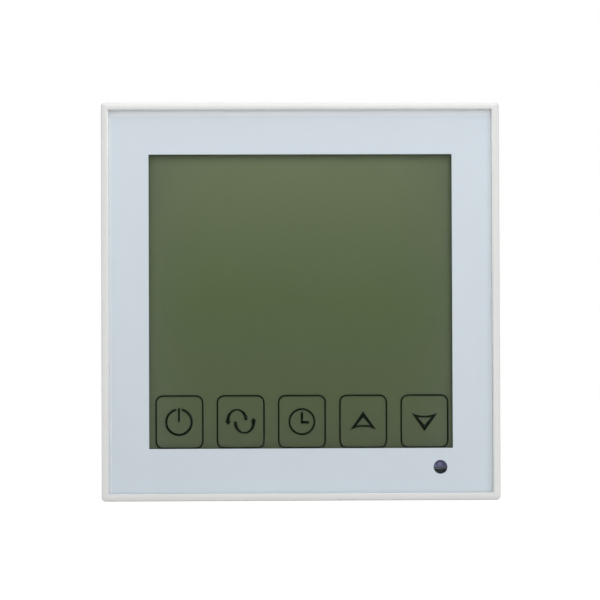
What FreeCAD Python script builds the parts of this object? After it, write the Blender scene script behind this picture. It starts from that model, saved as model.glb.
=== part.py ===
import FreeCAD, Part
import os
import Sketcher

# Wall thermostat with a touch-key display: the front unit, the power base and its wiring terminals.
# X runs to the right, Z up, and the glass faces -Y. The wall's surface is the plane Y = 0, and the
# origin is midway between the two wall screws. Sizes are in millimetres.

SIZES = {
    # front frame
    "frame_side": 86.0,
    "frame_depth": 15.0,
    "frame_wall": 1.8,
    "frame_corner": 0.9,
    "frame_edge_round": 0.4,
    "rim_slope_width": 0.85,
    "rim_slope_drop": 0.19,
    "wall_gap": 0.2,
    "rim_width": 1.4,
    "rim_proud": 0.3,
    "rim_corner": 0.35,
    "face_thick": 1.3,
    "boss_radius": 2.6,
    "boss_inset": 2.5,
    "vent_length": 2.4,
    "vent_width": 1.4,
    "vent_pitch": 4.0,
    "notch_length": 6.0,
    # glass and what is bonded behind it
    "glass_thick": 1.5,
    "glass_gap": 0.2,
    "mask_thick": 0.15,
    "adhesive_thick": 0.25,
    "window_width": 65.6,
    "window_height": 63.6,
    "window_margin": 1.0,
    "ir_x": 30.1,
    "ir_drop": 35.9,
    "ir_radius": 1.5,
    # display stack
    "touch_thick": 0.15,
    "polarizer_thick": 0.2,
    "lcd_glass_thick": 0.7,
    "lcd_side_overlap": 1.7,
    "lcd_bottom_overlap": 0.1,
    "lcd_ledge": 2.7,
    "guide_thick": 2.5,
    "guide_inset": 1.0,
    "tray_floor": 1.0,
    "tray_wall": 0.8,
    "tray_play": 0.3,
    "zebra_width": 2.0,
    "zebra_length": 60.0,
    "peg_radius": 0.9,
    "peg_across": 0.93,
    "peg_up": 0.85,
    "led_count": 5.0,
    "led_length": 3.0,
    "led_tall": 1.8,
    # boards
    "board_thick": 1.6,
    "board_play": 0.6,
    "hole_play": 0.2,
    # parts on the control board's rear
    "micro_x": -14.0,
    "micro_z": 8.0,
    "micro_side": 10.0,
    "driver_x": 12.0,
    "driver_z": 4.0,
    "driver_side": 12.0,
    "chip_tall": 1.4,
    "chip_lead": 0.4,
    "chip_lead_reach": 1.0,
    "crystal_x": -2.0,
    "crystal_z": 7.0,
    "crystal_radius": 1.6,
    "crystal_length": 6.6,
    "crystal_tall": 1.8,
    "passive_rows": 3.0,
    "passive_columns": 6.0,
    "passive_inset": 3.0,
    "passive_z": 24.0,
    "passive_column_pitch": 2.6,
    "passive_row_pitch": 3.4,
    "passive_width": 1.2,
    "passive_length": 2.0,
    "passive_tall": 0.8,
    "cell_x": -29.0,
    "cell_z": -22.0,
    "cell_radius": 6.2,
    "cell_cap_radius": 5.4,
    "clip_length": 16.0,
    "clip_width": 4.0,
    "clip_foot": 1.5,
    "buzzer_x": 20.0,
    "buzzer_z": -14.0,
    "buzzer_side": 9.0,
    "buzzer_tall": 1.9,
    "buzzer_port": 0.9,
    "ir_body_width": 5.0,
    "ir_body_height": 1.8,
    "ir_lens_radius": 0.85,
    "shield_width": 6.0,
    "shield_height": 2.2,
    "sensor_x": -8.0,
    "sensor_rise": 2.4,
    "sensor_radius": 0.9,
    "sensor_length": 2.8,
    "socket_height": 4.2,
    # screws
    "screw_shank": 0.9,
    "screw_head": 1.9,
    "screw_head_thick": 1.1,
    "screw_length": 4.2,
    "pilot_play": 0.05,
    # base flange and box
    "base_play": 0.2,
    "base_thick": 2.2,
    "box_width": 49.0,
    "box_height": 58.0,
    "box_depth": 26.0,
    "box_wall": 1.8,
    "step_height": 16.0,
    "step_depth": 6.4,
    "step_wall": 1.6,
    "cover_thick": 1.2,
    "cover_ledge": 1.2,
    "slot_pitch": 60.0,
    "slot_length": 8.0,
    "slot_radius": 2.25,
    "corner_boss": 2.4,
    "louvre_count": 7.0,
    "louvre_pitch": 5.0,
    "louvre_length": 13.0,
    "louvre_width": 1.5,
    "power_board_front": 1.4,
    # retaining springs
    "spring_x": 22.0,
    "spring_width": 7.0,
    "spring_sheet": 0.3,
    "groove_depth": 0.5,
    # parts of the power supply
    "relay_width": 10.2,
    "relay_height": 18.0,
    "relay_tall": 12.5,
    "relay_pitch": 11.0,
    "header_count": 8.0,
    "header_pitch": 2.54,
    "header_drop": 7.2,
    "header_height": 2.5,
    "pin_width": 0.5,
    "transformer_x": -10.9,
    "core_width": 14.0,
    "core_height": 12.0,
    "core_tall": 7.0,
    "core_window": 3.0,
    "core_window_x": 3.5,
    "coil_width": 9.6,
    "coil_height": 7.7,
    "coil_tall": 11.4,
    "bulk_x": 1.6,
    "bulk_drop": 2.6,
    "bulk_radius": 5.0,
    "bulk_tall": 14.0,
    "output_x": 4.6,
    "output_rise": 5.9,
    "output_radius": 3.1,
    "output_tall": 10.0,
    "film_x": 15.0,
    "film_drop": 5.6,
    "film_width": 12.0,
    "film_height": 5.0,
    "film_tall": 10.0,
    "varistor_x": 14.0,
    "varistor_radius": 3.8,
    "varistor_thick": 2.6,
    "varistor_stand": 6.0,
    "fuse_x": 14.0,
    "fuse_rise": 5.6,
    "fuse_radius": 2.6,
    "fuse_tall": 7.6,
    # terminals
    "terminal_count": 6.0,
    "terminal_pitch": 5.08,
    "terminal_gap": 2.0,
    "terminal_height": 11.9,
    "terminal_axis": 4.9,
    "terminal_tall": 14.6,
    "clamp_shank": 1.2,
    "clamp_head": 1.8,
    "clamp_head_thick": 1.5,
    "clamp_slot": 0.6,
    "contact_width": 2.3,
    "contact_thick": 0.9,
    "contact_leg": 1.5,
    "contact_leg_thick": 0.8,
    "cage_width": 3.9,
    "cage_play": 0.15,
    "cage_length": 5.0,
    "cage_sheet": 0.6,
    "cage_web": 1.0,
    "cage_travel": 2.0,
    "wire_radius": 1.5,
}

doc = FreeCAD.newDocument("wall_thermostat")
sheet = doc.addObject("Spreadsheet::Sheet", "Sizes")
for row, (alias, number) in enumerate(SIZES.items(), start=1):
    sheet.set(f"A{row}", alias)
    sheet.set(f"B{row}", str(number))
    sheet.setAlias(f"B{row}", alias)
doc.recompute()


class Size:
    """A length with its number now and the spreadsheet formula that it follows."""

    def __init__(self, number, formula):
        self.number = float(number)
        self.formula = formula

    def join(self, sign, other, number):
        other_formula = getattr(other, "formula", repr(other))
        return Size(number, f"({self.formula} {sign} {other_formula})")

    def __add__(self, other):
        return self.join("+", other, self.number + float(other))

    def __sub__(self, other):
        return self.join("-", other, self.number - float(other))

    def __mul__(self, other):
        return self.join("*", other, self.number * float(other))

    def __truediv__(self, other):
        return self.join("/", other, self.number / float(other))

    def __neg__(self):
        return Size(-self.number, f"(0 - {self.formula})")

    def __float__(self):
        return self.number


def plain(number):
    return Size(number, repr(float(number)))


ZERO = plain(0)
s = {alias: Size(sheet.get(alias), f"Sizes.{alias}") for alias in SIZES}


def count(alias):
    return int(round(float(s[alias])))


def drive(thing, prop, size):
    """Bind a property to a size's formula."""
    size = size if isinstance(size, Size) else plain(size)
    thing.setExpression(prop, size.formula)


def around(centre, width):
    """The low and high ends of a span."""
    return (centre - width / 2, centre + width / 2)


def in_a_row(how_many, pitch):
    """Evenly spaced centres, symmetrical about zero."""
    total = count(how_many)
    return [s[pitch] * (number - (total - 1) / 2) for number in range(total)]


# Part primitives -----------------------------------------------------------------------------


def block(name, x, y, z):
    """A box between the low and high ends given along each axis."""
    solid = doc.addObject("Part::Box", name)
    for prop, axis, (low, high) in zip(("Length", "Width", "Height"), "xyz", (x, y, z)):
        drive(solid, prop, high - low)
        drive(solid, f"Placement.Base.{axis}", low)
    return solid


def rod(name, along, centre, radius, span):
    """A cylinder along an axis; centre holds its two other coordinates."""
    turns = {
        "x": FreeCAD.Rotation(FreeCAD.Vector(0, 1, 0), 90),
        "y": FreeCAD.Rotation(FreeCAD.Vector(1, 0, 0), -90),
        "z": FreeCAD.Rotation(),
    }
    solid = doc.addObject("Part::Cylinder", name)
    solid.Placement = FreeCAD.Placement(FreeCAD.Vector(), turns[along])
    drive(solid, "Radius", radius)
    drive(solid, "Height", span[1] - span[0])
    places = dict(zip([axis for axis in "xyz" if axis != along], centre))
    places[along] = span[0]
    for axis in "xyz":
        drive(solid, f"Placement.Base.{axis}", places[axis])
    return solid


def fuse(name, solids):
    joined = doc.addObject("Part::MultiFuse", name)
    joined.Shapes = solids
    return joined


def group(name, solids):
    """Separate solids that share one node."""
    gathered = doc.addObject("Part::Compound", name)
    gathered.Links = solids
    return gathered


def cut(name, base, tools):
    cutter = tools[0] if len(tools) == 1 else fuse(f"{name}_tools", tools)
    result = doc.addObject("Part::Cut", name)
    result.Base = base
    result.Tool = cutter
    return result


# PartDesign features -------------------------------------------------------------------------


def new_body(label):
    body = doc.addObject("PartDesign::Body", f"{label}_body")
    body.Label = label
    return body


def front_sketch(body, name, y):
    """A sketch that faces the front, at depth y: its axes are X and Z, and its normal is -Y."""
    plane = [f for f in body.Origin.OriginFeatures if f.Role == "XZ_Plane"][0]
    return attach(body, name, plane, -y if isinstance(y, Size) else plain(-y))


def side_sketch(body, name, x):
    """A sketch in the plane of Y and Z, at x, with its normal along +X."""
    plane = [f for f in body.Origin.OriginFeatures if f.Role == "YZ_Plane"][0]
    return attach(body, name, plane, x)


def attach(body, name, plane, offset):
    sketch = body.newObject("Sketcher::SketchObject", f"{body.Label}_{name}")
    sketch.AttachmentSupport = [(plane, "")]
    sketch.MapMode = "FlatFace"
    drive(sketch, "AttachmentOffset.Base.z", offset)
    return sketch


def fix(sketch, kind, first, second, size):
    """A dimension from the sketch's origin to a point, bound to a size."""
    number = sketch.addConstraint(Sketcher.Constraint(kind, *first, *second, float(size)))
    name = f"{kind}_{number}"
    sketch.renameConstraint(number, name)
    drive(sketch, f"Constraints.{name}", size)


def vector(x, z):
    return FreeCAD.Vector(float(x), float(z), 0)


def draw_rectangle(sketch, x, z):
    corners = [vector(x[0], z[0]), vector(x[1], z[0]), vector(x[1], z[1]), vector(x[0], z[1])]
    edges = [Part.LineSegment(corners[i], corners[(i + 1) % 4]) for i in range(4)]
    lines = sketch.addGeometry(edges, False)
    sketch.addConstraint(
        [Sketcher.Constraint("Coincident", lines[i], 2, lines[(i + 1) % 4], 1) for i in range(4)]
        + [Sketcher.Constraint("Horizontal", lines[i]) for i in (0, 2)]
        + [Sketcher.Constraint("Vertical", lines[i]) for i in (1, 3)]
    )
    for line, ends in ((lines[0], (x[0], z[0])), (lines[2], (x[1], z[1]))):
        fix(sketch, "DistanceX", (-1, 1), (line, 1), ends[0])
        fix(sketch, "DistanceY", (-1, 1), (line, 1), ends[1])


def draw_circle(sketch, x, z, radius):
    normal = FreeCAD.Vector(0, 0, 1)
    ring = sketch.addGeometry(Part.Circle(vector(x, z), normal, float(radius)), False)
    fix(sketch, "DistanceX", (-1, 1), (ring, 3), x)
    fix(sketch, "DistanceY", (-1, 1), (ring, 3), z)
    number = sketch.addConstraint(Sketcher.Constraint("Radius", ring, float(radius)))
    sketch.renameConstraint(number, f"Radius_{number}")
    drive(sketch, f"Constraints.Radius_{number}", radius)


def draw_outline(sketch, points):
    """A closed outline of straight lines, each corner placed from the sketch's origin."""
    corners = [vector(*point) for point in points]
    total = len(corners)
    edges = [Part.LineSegment(corners[i], corners[(i + 1) % total]) for i in range(total)]
    lines = sketch.addGeometry(edges, False)
    sketch.addConstraint(
        [
            Sketcher.Constraint("Coincident", lines[i], 2, lines[(i + 1) % total], 1)
            for i in range(total)
        ]
    )
    for line, (across, up) in zip(lines, points):
        fix(sketch, "DistanceX", (-1, 1), (line, 1), across)
        fix(sketch, "DistanceY", (-1, 1), (line, 1), up)


def extrude(kind, body, sketch, length, backwards):
    feature = body.newObject(f"PartDesign::{kind}", f"{sketch.Name}_{kind}")
    feature.Profile = (sketch, [""])
    feature.Reversed = backwards
    drive(feature, "Length", length)
    return feature


def pad(body, name, draw, y):
    """Add material between two depths, whichever way round they are given."""
    sketch = front_sketch(body, name, y[0])
    draw(sketch)
    towards_back = float(y[1]) > float(y[0])
    length = y[1] - y[0] if towards_back else y[0] - y[1]
    return extrude("Pad", body, sketch, length, towards_back)


def pocket(body, name, draw, y):
    """Take material away between two depths, whichever way round they are given."""
    before = measured(body)
    sketch = front_sketch(body, name, y[0])
    draw(sketch)
    towards_front = float(y[1]) < float(y[0])
    length = y[0] - y[1] if towards_front else y[1] - y[0]
    feature = extrude("Pocket", body, sketch, length, towards_front)
    if measured(body) > before - 1e-4:
        raise ValueError(f"{sketch.Name} cuts nothing")
    return feature


def measured(body):
    doc.recompute()
    return body.Shape.Volume


def rectangles(*pairs):
    def draw(sketch):
        for x, z in pairs:
            draw_rectangle(sketch, x, z)

    return draw


def circles(radius, centres):
    def draw(sketch):
        for x, z in centres:
            draw_circle(sketch, x, z, radius)

    return draw


def square(half):
    return ((-half, half), (-half, half))


def dress(kind, body, name, size, chosen):
    """Round or chamfer the edges that the test chooses."""
    doc.recompute()
    base = body.Tip
    edges = [
        f"Edge{number}"
        for number, edge in enumerate(base.Shape.Edges, start=1)
        if chosen([vertex.Point for vertex in edge.Vertexes])
    ]
    feature = body.newObject(f"PartDesign::{kind}", f"{body.Label}_{name}")
    feature.Base = (base, edges)
    drive(feature, "Radius" if kind == "Fillet" else "Size", size)
    return feature


def same(first, second):
    return abs(float(first) - float(second)) < 1e-4


def at_corner(half):
    """Chooses the edges that run from front to rear at the corners of a square of that half size."""

    def chosen(points):
        corners = all(same(abs(p.x), half) and same(abs(p.z), half) for p in points)
        return corners and not same(points[0].y, points[-1].y)

    return chosen


def at_depth(y):
    """Chooses the edges that lie in the plane at that depth."""
    return lambda points: all(same(p.y, y) for p in points)


def plate(label, x, z, y):
    """A flat rectangular piece."""
    body = new_body(label)
    pad(body, "outline", rectangles((x, z)), y)
    return body


# Levels and outlines that several pieces share ---------------------------------------------------

frame_half = s["frame_side"] / 2
frame_inner = frame_half - s["frame_wall"]
rim_half = frame_half - s["rim_width"]
glass_half = rim_half - s["glass_gap"]
frame_rear = -s["wall_gap"]
rim_front = -s["frame_depth"]
glass_front = rim_front + s["rim_proud"]
glass_rear = glass_front + s["glass_thick"]
mask_rear = glass_rear + s["mask_thick"]
face_front = mask_rear + s["adhesive_thick"]
face_rear = face_front + s["face_thick"]
front_glass_rear = face_rear + s["lcd_glass_thick"]
rear_glass_rear = front_glass_rear + s["lcd_glass_thick"]
rear_polarizer_rear = rear_glass_rear + s["polarizer_thick"]
guide_rear = rear_polarizer_rear + s["guide_thick"]
board_front = guide_rear + s["tray_floor"]
board_rear = board_front + s["board_thick"]

window_x = around(ZERO, s["window_width"])
window_z = around(ZERO, s["window_height"])
opening_x = (window_x[0] - s["window_margin"], window_x[1] + s["window_margin"])
opening_z = (window_z[0] - s["window_margin"], window_z[1] + s["window_margin"])
lcd_x = (opening_x[0] - s["lcd_side_overlap"], opening_x[1] + s["lcd_side_overlap"])
lcd_z = (opening_z[0] - s["lcd_bottom_overlap"], opening_z[1] + s["lcd_ledge"])
tray_inner_x = (lcd_x[0] - s["tray_play"], lcd_x[1] + s["tray_play"])
tray_inner_z = (lcd_z[0] - s["tray_play"], lcd_z[1] + s["tray_play"])
tray_x = (tray_inner_x[0] - s["tray_wall"], tray_inner_x[1] + s["tray_wall"])
tray_z = (tray_inner_z[0] - s["tray_wall"], tray_inner_z[1] + s["tray_wall"])
zebra_x = around(ZERO, s["zebra_length"])
zebra_z = (opening_z[1] + 0.4, opening_z[1] + 0.4 + s["zebra_width"])
zebra_slot_z = (zebra_z[0] - 0.15, zebra_z[1] + 0.15)

board_half = frame_inner - s["board_play"]
boss_at = frame_inner - s["boss_inset"]
corner_signs = [(-1, -1), (1, -1), (1, 1), (-1, 1)]
boss_centres = [(boss_at * i, boss_at * j) for i, j in corner_signs]
peg_at = (lcd_x[1] * s["peg_across"], lcd_z[1] * s["peg_up"])
peg_centres = [(peg_at[0] * i, peg_at[1] * j) for i, j in corner_signs]
hole_radius = s["screw_shank"] + s["hole_play"]
pilot_radius = s["screw_shank"] + s["pilot_play"]
screw_tip = board_rear - s["screw_length"]

ir_centre = (s["ir_x"], -s["ir_drop"])

base_half = frame_inner - s["base_play"]
base_front = -s["base_thick"]
cover_rear = base_front + s["cover_thick"]
box_x = around(ZERO, s["box_width"])
box_z = around(ZERO, s["box_height"])
box_inner_x = (box_x[0] + s["box_wall"], box_x[1] - s["box_wall"])
box_inner_z = (box_z[0] + s["box_wall"], box_z[1] - s["box_wall"])
step_top = box_z[0] + s["step_height"]
box_floor = s["box_depth"] - s["box_wall"]
step_floor = s["step_depth"] - s["step_wall"]
power_front = s["power_board_front"]
power_rear = power_front + s["board_thick"]
power_x = (box_inner_x[0] + 0.4, box_inner_x[1] - 0.4)
power_z = (box_inner_z[0] + 0.3, box_inner_z[1] - 0.3)
post_x = box_inner_x[1] - s["corner_boss"] + 0.1
post_z = box_inner_z[1] - s["corner_boss"] + 0.1
cover_posts = [(-post_x, post_z), (post_x, -post_z)]
board_posts = [(post_x, post_z), (-post_x, -post_z)]

groove_y = (base_front - 1.9, base_front - 0.7)
spring_centres = [(-1, 1), (1, 1), (-1, -1), (1, -1)]

relay_low = step_top + s["box_wall"] + 0.4
upper_row = (relay_low + s["relay_height"] + box_inner_z[1]) / 2

header_x = in_a_row("header_count", "header_pitch")
header_z = box_inner_z[1] - s["header_drop"]
header_half = s["header_pitch"] * count("header_count") / 2
pin_tip = board_rear + 0.5

terminal_x = in_a_row("terminal_count", "terminal_pitch")
terminal_top = step_top - s["terminal_gap"]
terminal_bottom = terminal_top - s["terminal_height"]
terminal_z = terminal_bottom + s["terminal_axis"]
terminal_half = s["terminal_pitch"] * count("terminal_count") / 2 + 0.5
terminal_rear = power_rear + s["terminal_tall"]
cage_front = power_rear + 3.0
cavity_front = cage_front - 0.6
wire_gap = s["cage_travel"] + 0.5
cage_plate = 0.8
bar_front = cage_front + cage_plate + wire_gap
bar_rear = bar_front + s["contact_thick"]
cage_rear = bar_rear + s["cage_travel"]
cavity_rear = cage_rear + s["cage_travel"] + 0.4
head_front = cavity_rear + 0.45
head_rear = head_front + s["clamp_head_thick"]
leg_z = (terminal_z + 4.0, terminal_z + 4.0 + s["contact_leg_thick"])
leg_slot = (s["contact_leg"] + 0.3, (leg_z[0] - 0.1, leg_z[1] + 0.1))
cage_z = (terminal_z - s["cage_length"] / 2, terminal_z + s["cage_length"] / 2)
cavity_z = (cage_z[0] - 0.3, leg_z[1] + 0.2)


# Front unit: frame and glass ---------------------------------------------------------------------


def front_frame():
    """Square moulded shell: thin rim, face plate behind the glass, four bosses for the board."""
    body = new_body("front_frame")
    pad(body, "shell", rectangles(square(frame_half)), (frame_rear, rim_front))
    dress("Fillet", body, "corners", s["frame_corner"], at_corner(frame_half))
    slope = dress("Chamfer", body, "rim_slope", s["rim_slope_width"], at_depth(rim_front))
    slope.ChamferType = "Two distances"
    slope.FlipDirection = True
    drive(slope, "Size2", s["rim_slope_drop"])
    doc.recompute()
    if not slope_is_shallow(slope):
        slope.FlipDirection = False
    edge_y = rim_front + s["rim_slope_drop"]
    dress("Fillet", body, "front_edge", s["frame_edge_round"], at_depth(edge_y))
    pocket(body, "seat", rectangles(square(rim_half)), (rim_front, face_front))
    dress("Fillet", body, "seat_corners", s["rim_corner"], at_corner(rim_half))
    pocket(body, "hollow", rectangles(square(frame_inner)), (frame_rear, face_rear))
    pocket(body, "opening", rectangles((opening_x, opening_z)), (face_front, face_rear))
    pocket(body, "ir_hole", circles(s["ir_radius"] + 0.2, [ir_centre]), (face_front, face_rear))
    pad(body, "bosses", circles(s["boss_radius"], boss_centres), (board_front, face_rear))
    pocket(body, "pilots", circles(pilot_radius, boss_centres), (board_front, screw_tip - 0.4))
    spring_grooves(body)
    vent_slots(body)
    release_notches(body)
    return body


def slope_is_shallow(slope):
    """Whether the slope's width runs along the front, and its drop along the depth."""
    inner = float(frame_half - s["rim_slope_width"])
    flat = [v.Point for v in slope.Shape.Vertexes if same(v.Y, rim_front)]
    return all(max(abs(p.x), abs(p.z)) < inner + 1e-3 for p in flat)


def spring_grooves(body):
    """Grooves in the upper and lower walls, which the springs' noses snap into."""
    reach = (frame_inner - 0.01, frame_inner + s["groove_depth"])
    length = s["spring_width"] + 1.0
    spans = []
    for i, j in spring_centres:
        up = reach if j > 0 else (-reach[1], -reach[0])
        spans.append((around(s["spring_x"] * i, length), up))
    pocket(body, "grooves", rectangles(*spans), (groove_y[1], groove_y[0]))


def vent_slots(body):
    """A row of short slots through the upper and lower walls, clear of the grooves."""
    reach = (frame_inner - 0.1, frame_half + 0.1)
    slots = 7
    spans = []
    for number in range(slots):
        x = around(s["vent_pitch"] * (number - (slots - 1) / 2), s["vent_length"])
        spans.append((x, reach))
        spans.append((x, (-reach[1], -reach[0])))
    y = base_front - 0.6
    pocket(body, "vents", rectangles(*spans), (y, y - s["vent_width"]))


def release_notches(body):
    """Two notches in the lower edge, where a screwdriver frees the springs."""
    reach = (-frame_half - 0.1, -frame_inner + 0.1)
    spans = [(around(s["spring_x"] * i, s["notch_length"]), reach) for i in (-1, 1)]
    pocket(body, "notches", rectangles(*spans), (frame_rear, frame_rear - 1.3))


def touch_glass():
    """Flat cover glass with ground corners and a slightly broken front edge."""
    body = plate("touch_glass", *square(glass_half), (glass_rear, glass_front))
    dress("Fillet", body, "corners", s["rim_corner"] - 0.1, at_corner(glass_half))
    dress("Chamfer", body, "front_edge", plain(0.12), at_depth(glass_front))
    return body


def mask_film():
    """White print on the glass's rear, open at the display and at the infrared window."""
    body = new_body("mask_film")

    def outlines(sketch):
        rectangles(square(glass_half), (window_x, window_z))(sketch)
        draw_circle(sketch, *ir_centre, s["ir_radius"])

    pad(body, "film", outlines, (mask_rear, glass_rear))
    return body


def glass_adhesive():
    """Ring of tape that bonds the glass to the frame's face plate."""
    body = new_body("glass_adhesive")

    def outlines(sketch):
        rectangles(square(glass_half - 0.4), (opening_x, opening_z))(sketch)
        draw_circle(sketch, *ir_centre, s["ir_radius"] + 0.2)

    pad(body, "tape", outlines, (face_front, mask_rear))
    return body


# Front unit: the display's layers, front to rear -----------------------------------------------------


def display_layers():
    film_x = (opening_x[0] + 0.2, opening_x[1] - 0.2)
    film_z = (opening_z[0] + 0.2, opening_z[1] - 0.2)
    polarizer_front = face_rear - s["polarizer_thick"]
    guide_x = (lcd_x[0] + s["guide_inset"], lcd_x[1] - 0.2)
    rear_z = (lcd_z[0], opening_z[1] + 0.1)
    inset = 0.5
    return [
        plate("touch_film", film_x, film_z, (polarizer_front, polarizer_front - s["touch_thick"])),
        plate("lcd_front_polarizer", film_x, film_z, (face_rear, polarizer_front)),
        plate("lcd_front_glass", lcd_x, lcd_z, (front_glass_rear, face_rear)),
        plate("lcd_rear_glass", lcd_x, rear_z, (rear_glass_rear, front_glass_rear)),
        plate(
            "lcd_rear_polarizer",
            (guide_x[0], guide_x[1] - inset),
            (rear_z[0] + inset, rear_z[1] - inset),
            (rear_polarizer_rear, rear_glass_rear),
        ),
        plate("light_guide", guide_x, rear_z, (guide_rear, rear_polarizer_rear)),
    ]


def backlight_leds():
    """Side-firing lamps along the light guide's left edge."""
    lamps = count("led_count")
    span = s["window_height"] * 0.8
    solids = []
    for number in range(lamps):
        z = around(span * (number / (lamps - 1) - 0.5), s["led_length"])
        x = (tray_inner_x[0] + 0.1, lcd_x[0] + s["guide_inset"] - 0.1)
        y = (guide_rear - s["led_tall"], guide_rear)
        solids.append(block(f"lamp_{number + 1}", x, y, z))
    return group("backlight_leds", solids)


def lcd_holder():
    """White tray that holds the display's layers, with four pegs that pass through the board."""
    body = new_body("lcd_holder")
    pad(body, "block", rectangles((tray_x, tray_z)), (board_front, face_rear))
    pocket(body, "inside", rectangles((tray_inner_x, tray_inner_z)), (face_rear, guide_rear))
    pocket(body, "contact_slot", rectangles((zebra_slot_x(), zebra_slot_z)), (guide_rear, board_front))
    pad(body, "pegs", circles(s["peg_radius"], peg_centres), (board_front, board_rear + 0.4))
    return body


def zebra_slot_x():
    return (zebra_x[0] - 0.2, zebra_x[1] + 0.2)


def zebra_strip():
    """Rubber strip of fine conductors between the display's ledge and the board."""
    return plate("zebra_strip", zebra_x, zebra_z, (board_front, front_glass_rear))


# Front unit: control electronics -----------------------------------------------------------------


def control_board():
    body = plate("control_board", *square(board_half), (board_rear, board_front))
    dress("Fillet", body, "corners", plain(1.0), at_corner(board_half))
    pocket(body, "screw_holes", circles(hole_radius, boss_centres), (board_front, board_rear))
    peg_hole = s["peg_radius"] + s["pilot_play"]
    pocket(body, "peg_holes", circles(peg_hole, peg_centres), (board_front, board_rear))
    return body


def pan_screw(name, x, z, seat, tip):
    """Cross-head screw along Y: the head stands on the seat, and the shank runs to the tip."""
    outwards = 1 if float(seat) > float(tip) else -1
    head_top = seat + s["screw_head_thick"] * outwards
    head_span = (seat, head_top) if outwards > 0 else (head_top, seat)
    shank_end = tip + 0.6 * outwards
    shank_span = (shank_end, seat) if outwards > 0 else (seat, shank_end)
    head = rod(f"{name}_head", "y", (x, z), s["screw_head"], head_span)
    rounded = doc.addObject("Part::Fillet", f"{name}_dome")
    rounded.Base = head
    doc.recompute()
    top = [
        number
        for number, edge in enumerate(head.Shape.Edges, start=1)
        if len(edge.Vertexes) == 1 and abs(edge.Vertexes[0].Y - float(head_top)) < 1e-4
    ]
    radius = float(s["screw_head_thick"]) * 0.6
    rounded.Edges = [(number, radius, radius) for number in top]
    shank = rod(f"{name}_shank", "y", (x, z), s["screw_shank"], shank_span)
    point = doc.addObject("Part::Cone", f"{name}_point")
    drive(point, "Radius1", s["screw_shank"])
    drive(point, "Radius2", s["screw_shank"] * 0.4)
    drive(point, "Height", plain(0.6))
    point.Placement.Rotation = FreeCAD.Rotation(FreeCAD.Vector(1, 0, 0), 90 * outwards)
    drive(point, "Placement.Base.x", x)
    drive(point, "Placement.Base.y", shank_end)
    drive(point, "Placement.Base.z", z)
    recess_span = (head_top - 0.6, head_top + 0.1)
    if outwards < 0:
        recess_span = (head_top - 0.1, head_top + 0.6)
    arm = s["screw_head"] * 1.1
    web = s["screw_head"] * 0.22
    recess = [
        block(f"{name}_recess_x", around(x, arm), recess_span, around(z, web)),
        block(f"{name}_recess_z", around(x, web), recess_span, around(z, arm)),
    ]
    return cut(name, fuse(f"{name}_solid", [rounded, shank, point]), recess)


def screw_set(label, centres, seat, tip):
    solids = [
        pan_screw(f"{label}_{number}", x, z, seat, tip)
        for number, (x, z) in enumerate(centres, start=1)
    ]
    return group(label, solids)


def chip(label, x, z, side):
    """Flat square package with a row of leads on each edge."""
    rear = board_rear + s["chip_tall"]
    package = block(f"{label}_package", around(x, side), (board_rear + 0.1, rear), around(z, side))
    leads = 8
    solids = [package]
    for number in range(leads):
        shift = side * (0.8 * (number / (leads - 1) - 0.5))
        foot = (board_rear, board_rear + 0.5)
        reach = side + s["chip_lead_reach"] * 2
        across, up = around(x + shift, s["chip_lead"]), around(z + shift, s["chip_lead"])
        solids.append(block(f"{label}_lead_x{number}", around(x, reach), foot, up))
        solids.append(block(f"{label}_lead_z{number}", across, foot, around(z, reach)))
    return fuse(label, solids)


def crystal():
    """Clock crystal: an oval can lying on the board."""
    x, z = s["crystal_x"], s["crystal_z"]
    radius, length = s["crystal_radius"], s["crystal_length"]
    y = (board_rear, board_rear + s["crystal_tall"])
    ends = [
        rod(f"crystal_end_{i}", "y", (x, z + length / 2 * i), radius, y)
        for i in (-1, 1)
    ]
    middle = block("crystal_middle", around(x, radius * 2), y, around(z, length))
    return fuse("crystal", [middle] + ends)


def board_passives():
    """Resistors and capacitors in rows on the control board's rear."""
    rows, columns = count("passive_rows"), count("passive_columns")
    first = s["passive_inset"] - peg_at[0]
    solids = []
    for row in range(rows):
        for column in range(columns):
            x = around(first + s["passive_column_pitch"] * column, s["passive_width"])
            z = around(s["passive_z"] + s["passive_row_pitch"] * row, s["passive_length"])
            y = (board_rear, board_rear + s["passive_tall"])
            solids.append(block(f"passive_{row}_{column}", x, y, z))
    return group("board_passives", solids)


def backup_cell():
    """Coin cell that keeps the clock running."""
    centre = (s["cell_x"], s["cell_z"])
    low, middle, top = board_rear + 0.1, board_rear + 1.3, board_rear + 1.6
    can = rod("cell_can", "y", centre, s["cell_radius"], (low, middle))
    cap = rod("cell_cap", "y", centre, s["cell_cap_radius"], (middle, top))
    return fuse("backup_cell", [can, cap])


def cell_clip():
    """Sprung strap over the cell, with a foot at each end."""
    x, length, foot = s["cell_x"], s["clip_length"], s["clip_foot"]
    up = around(s["cell_z"], s["clip_width"])
    top = board_rear + 1.9
    strap = block("clip_strap", around(x, length), (top - 0.3, top), up)
    foot_x = [around(x + (length - foot) / 2 * i, foot) for i in (-1, 1)]
    feet = [
        block(f"clip_foot_{number}", span, (board_rear, top - 0.2), up)
        for number, span in enumerate(foot_x)
    ]
    return fuse("cell_clip", [strap] + feet)


def buzzer():
    """Flat sounder with a port in its lid."""
    x, z = s["buzzer_x"], s["buzzer_z"]
    side, top = s["buzzer_side"], board_rear + s["buzzer_tall"]
    case = block("buzzer_case", around(x, side), (board_rear, top), around(z, side))
    port = rod("buzzer_port", "y", (x, z), s["buzzer_port"], (top - 0.7, top + 0.1))
    return cut("buzzer", case, [port])


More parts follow.
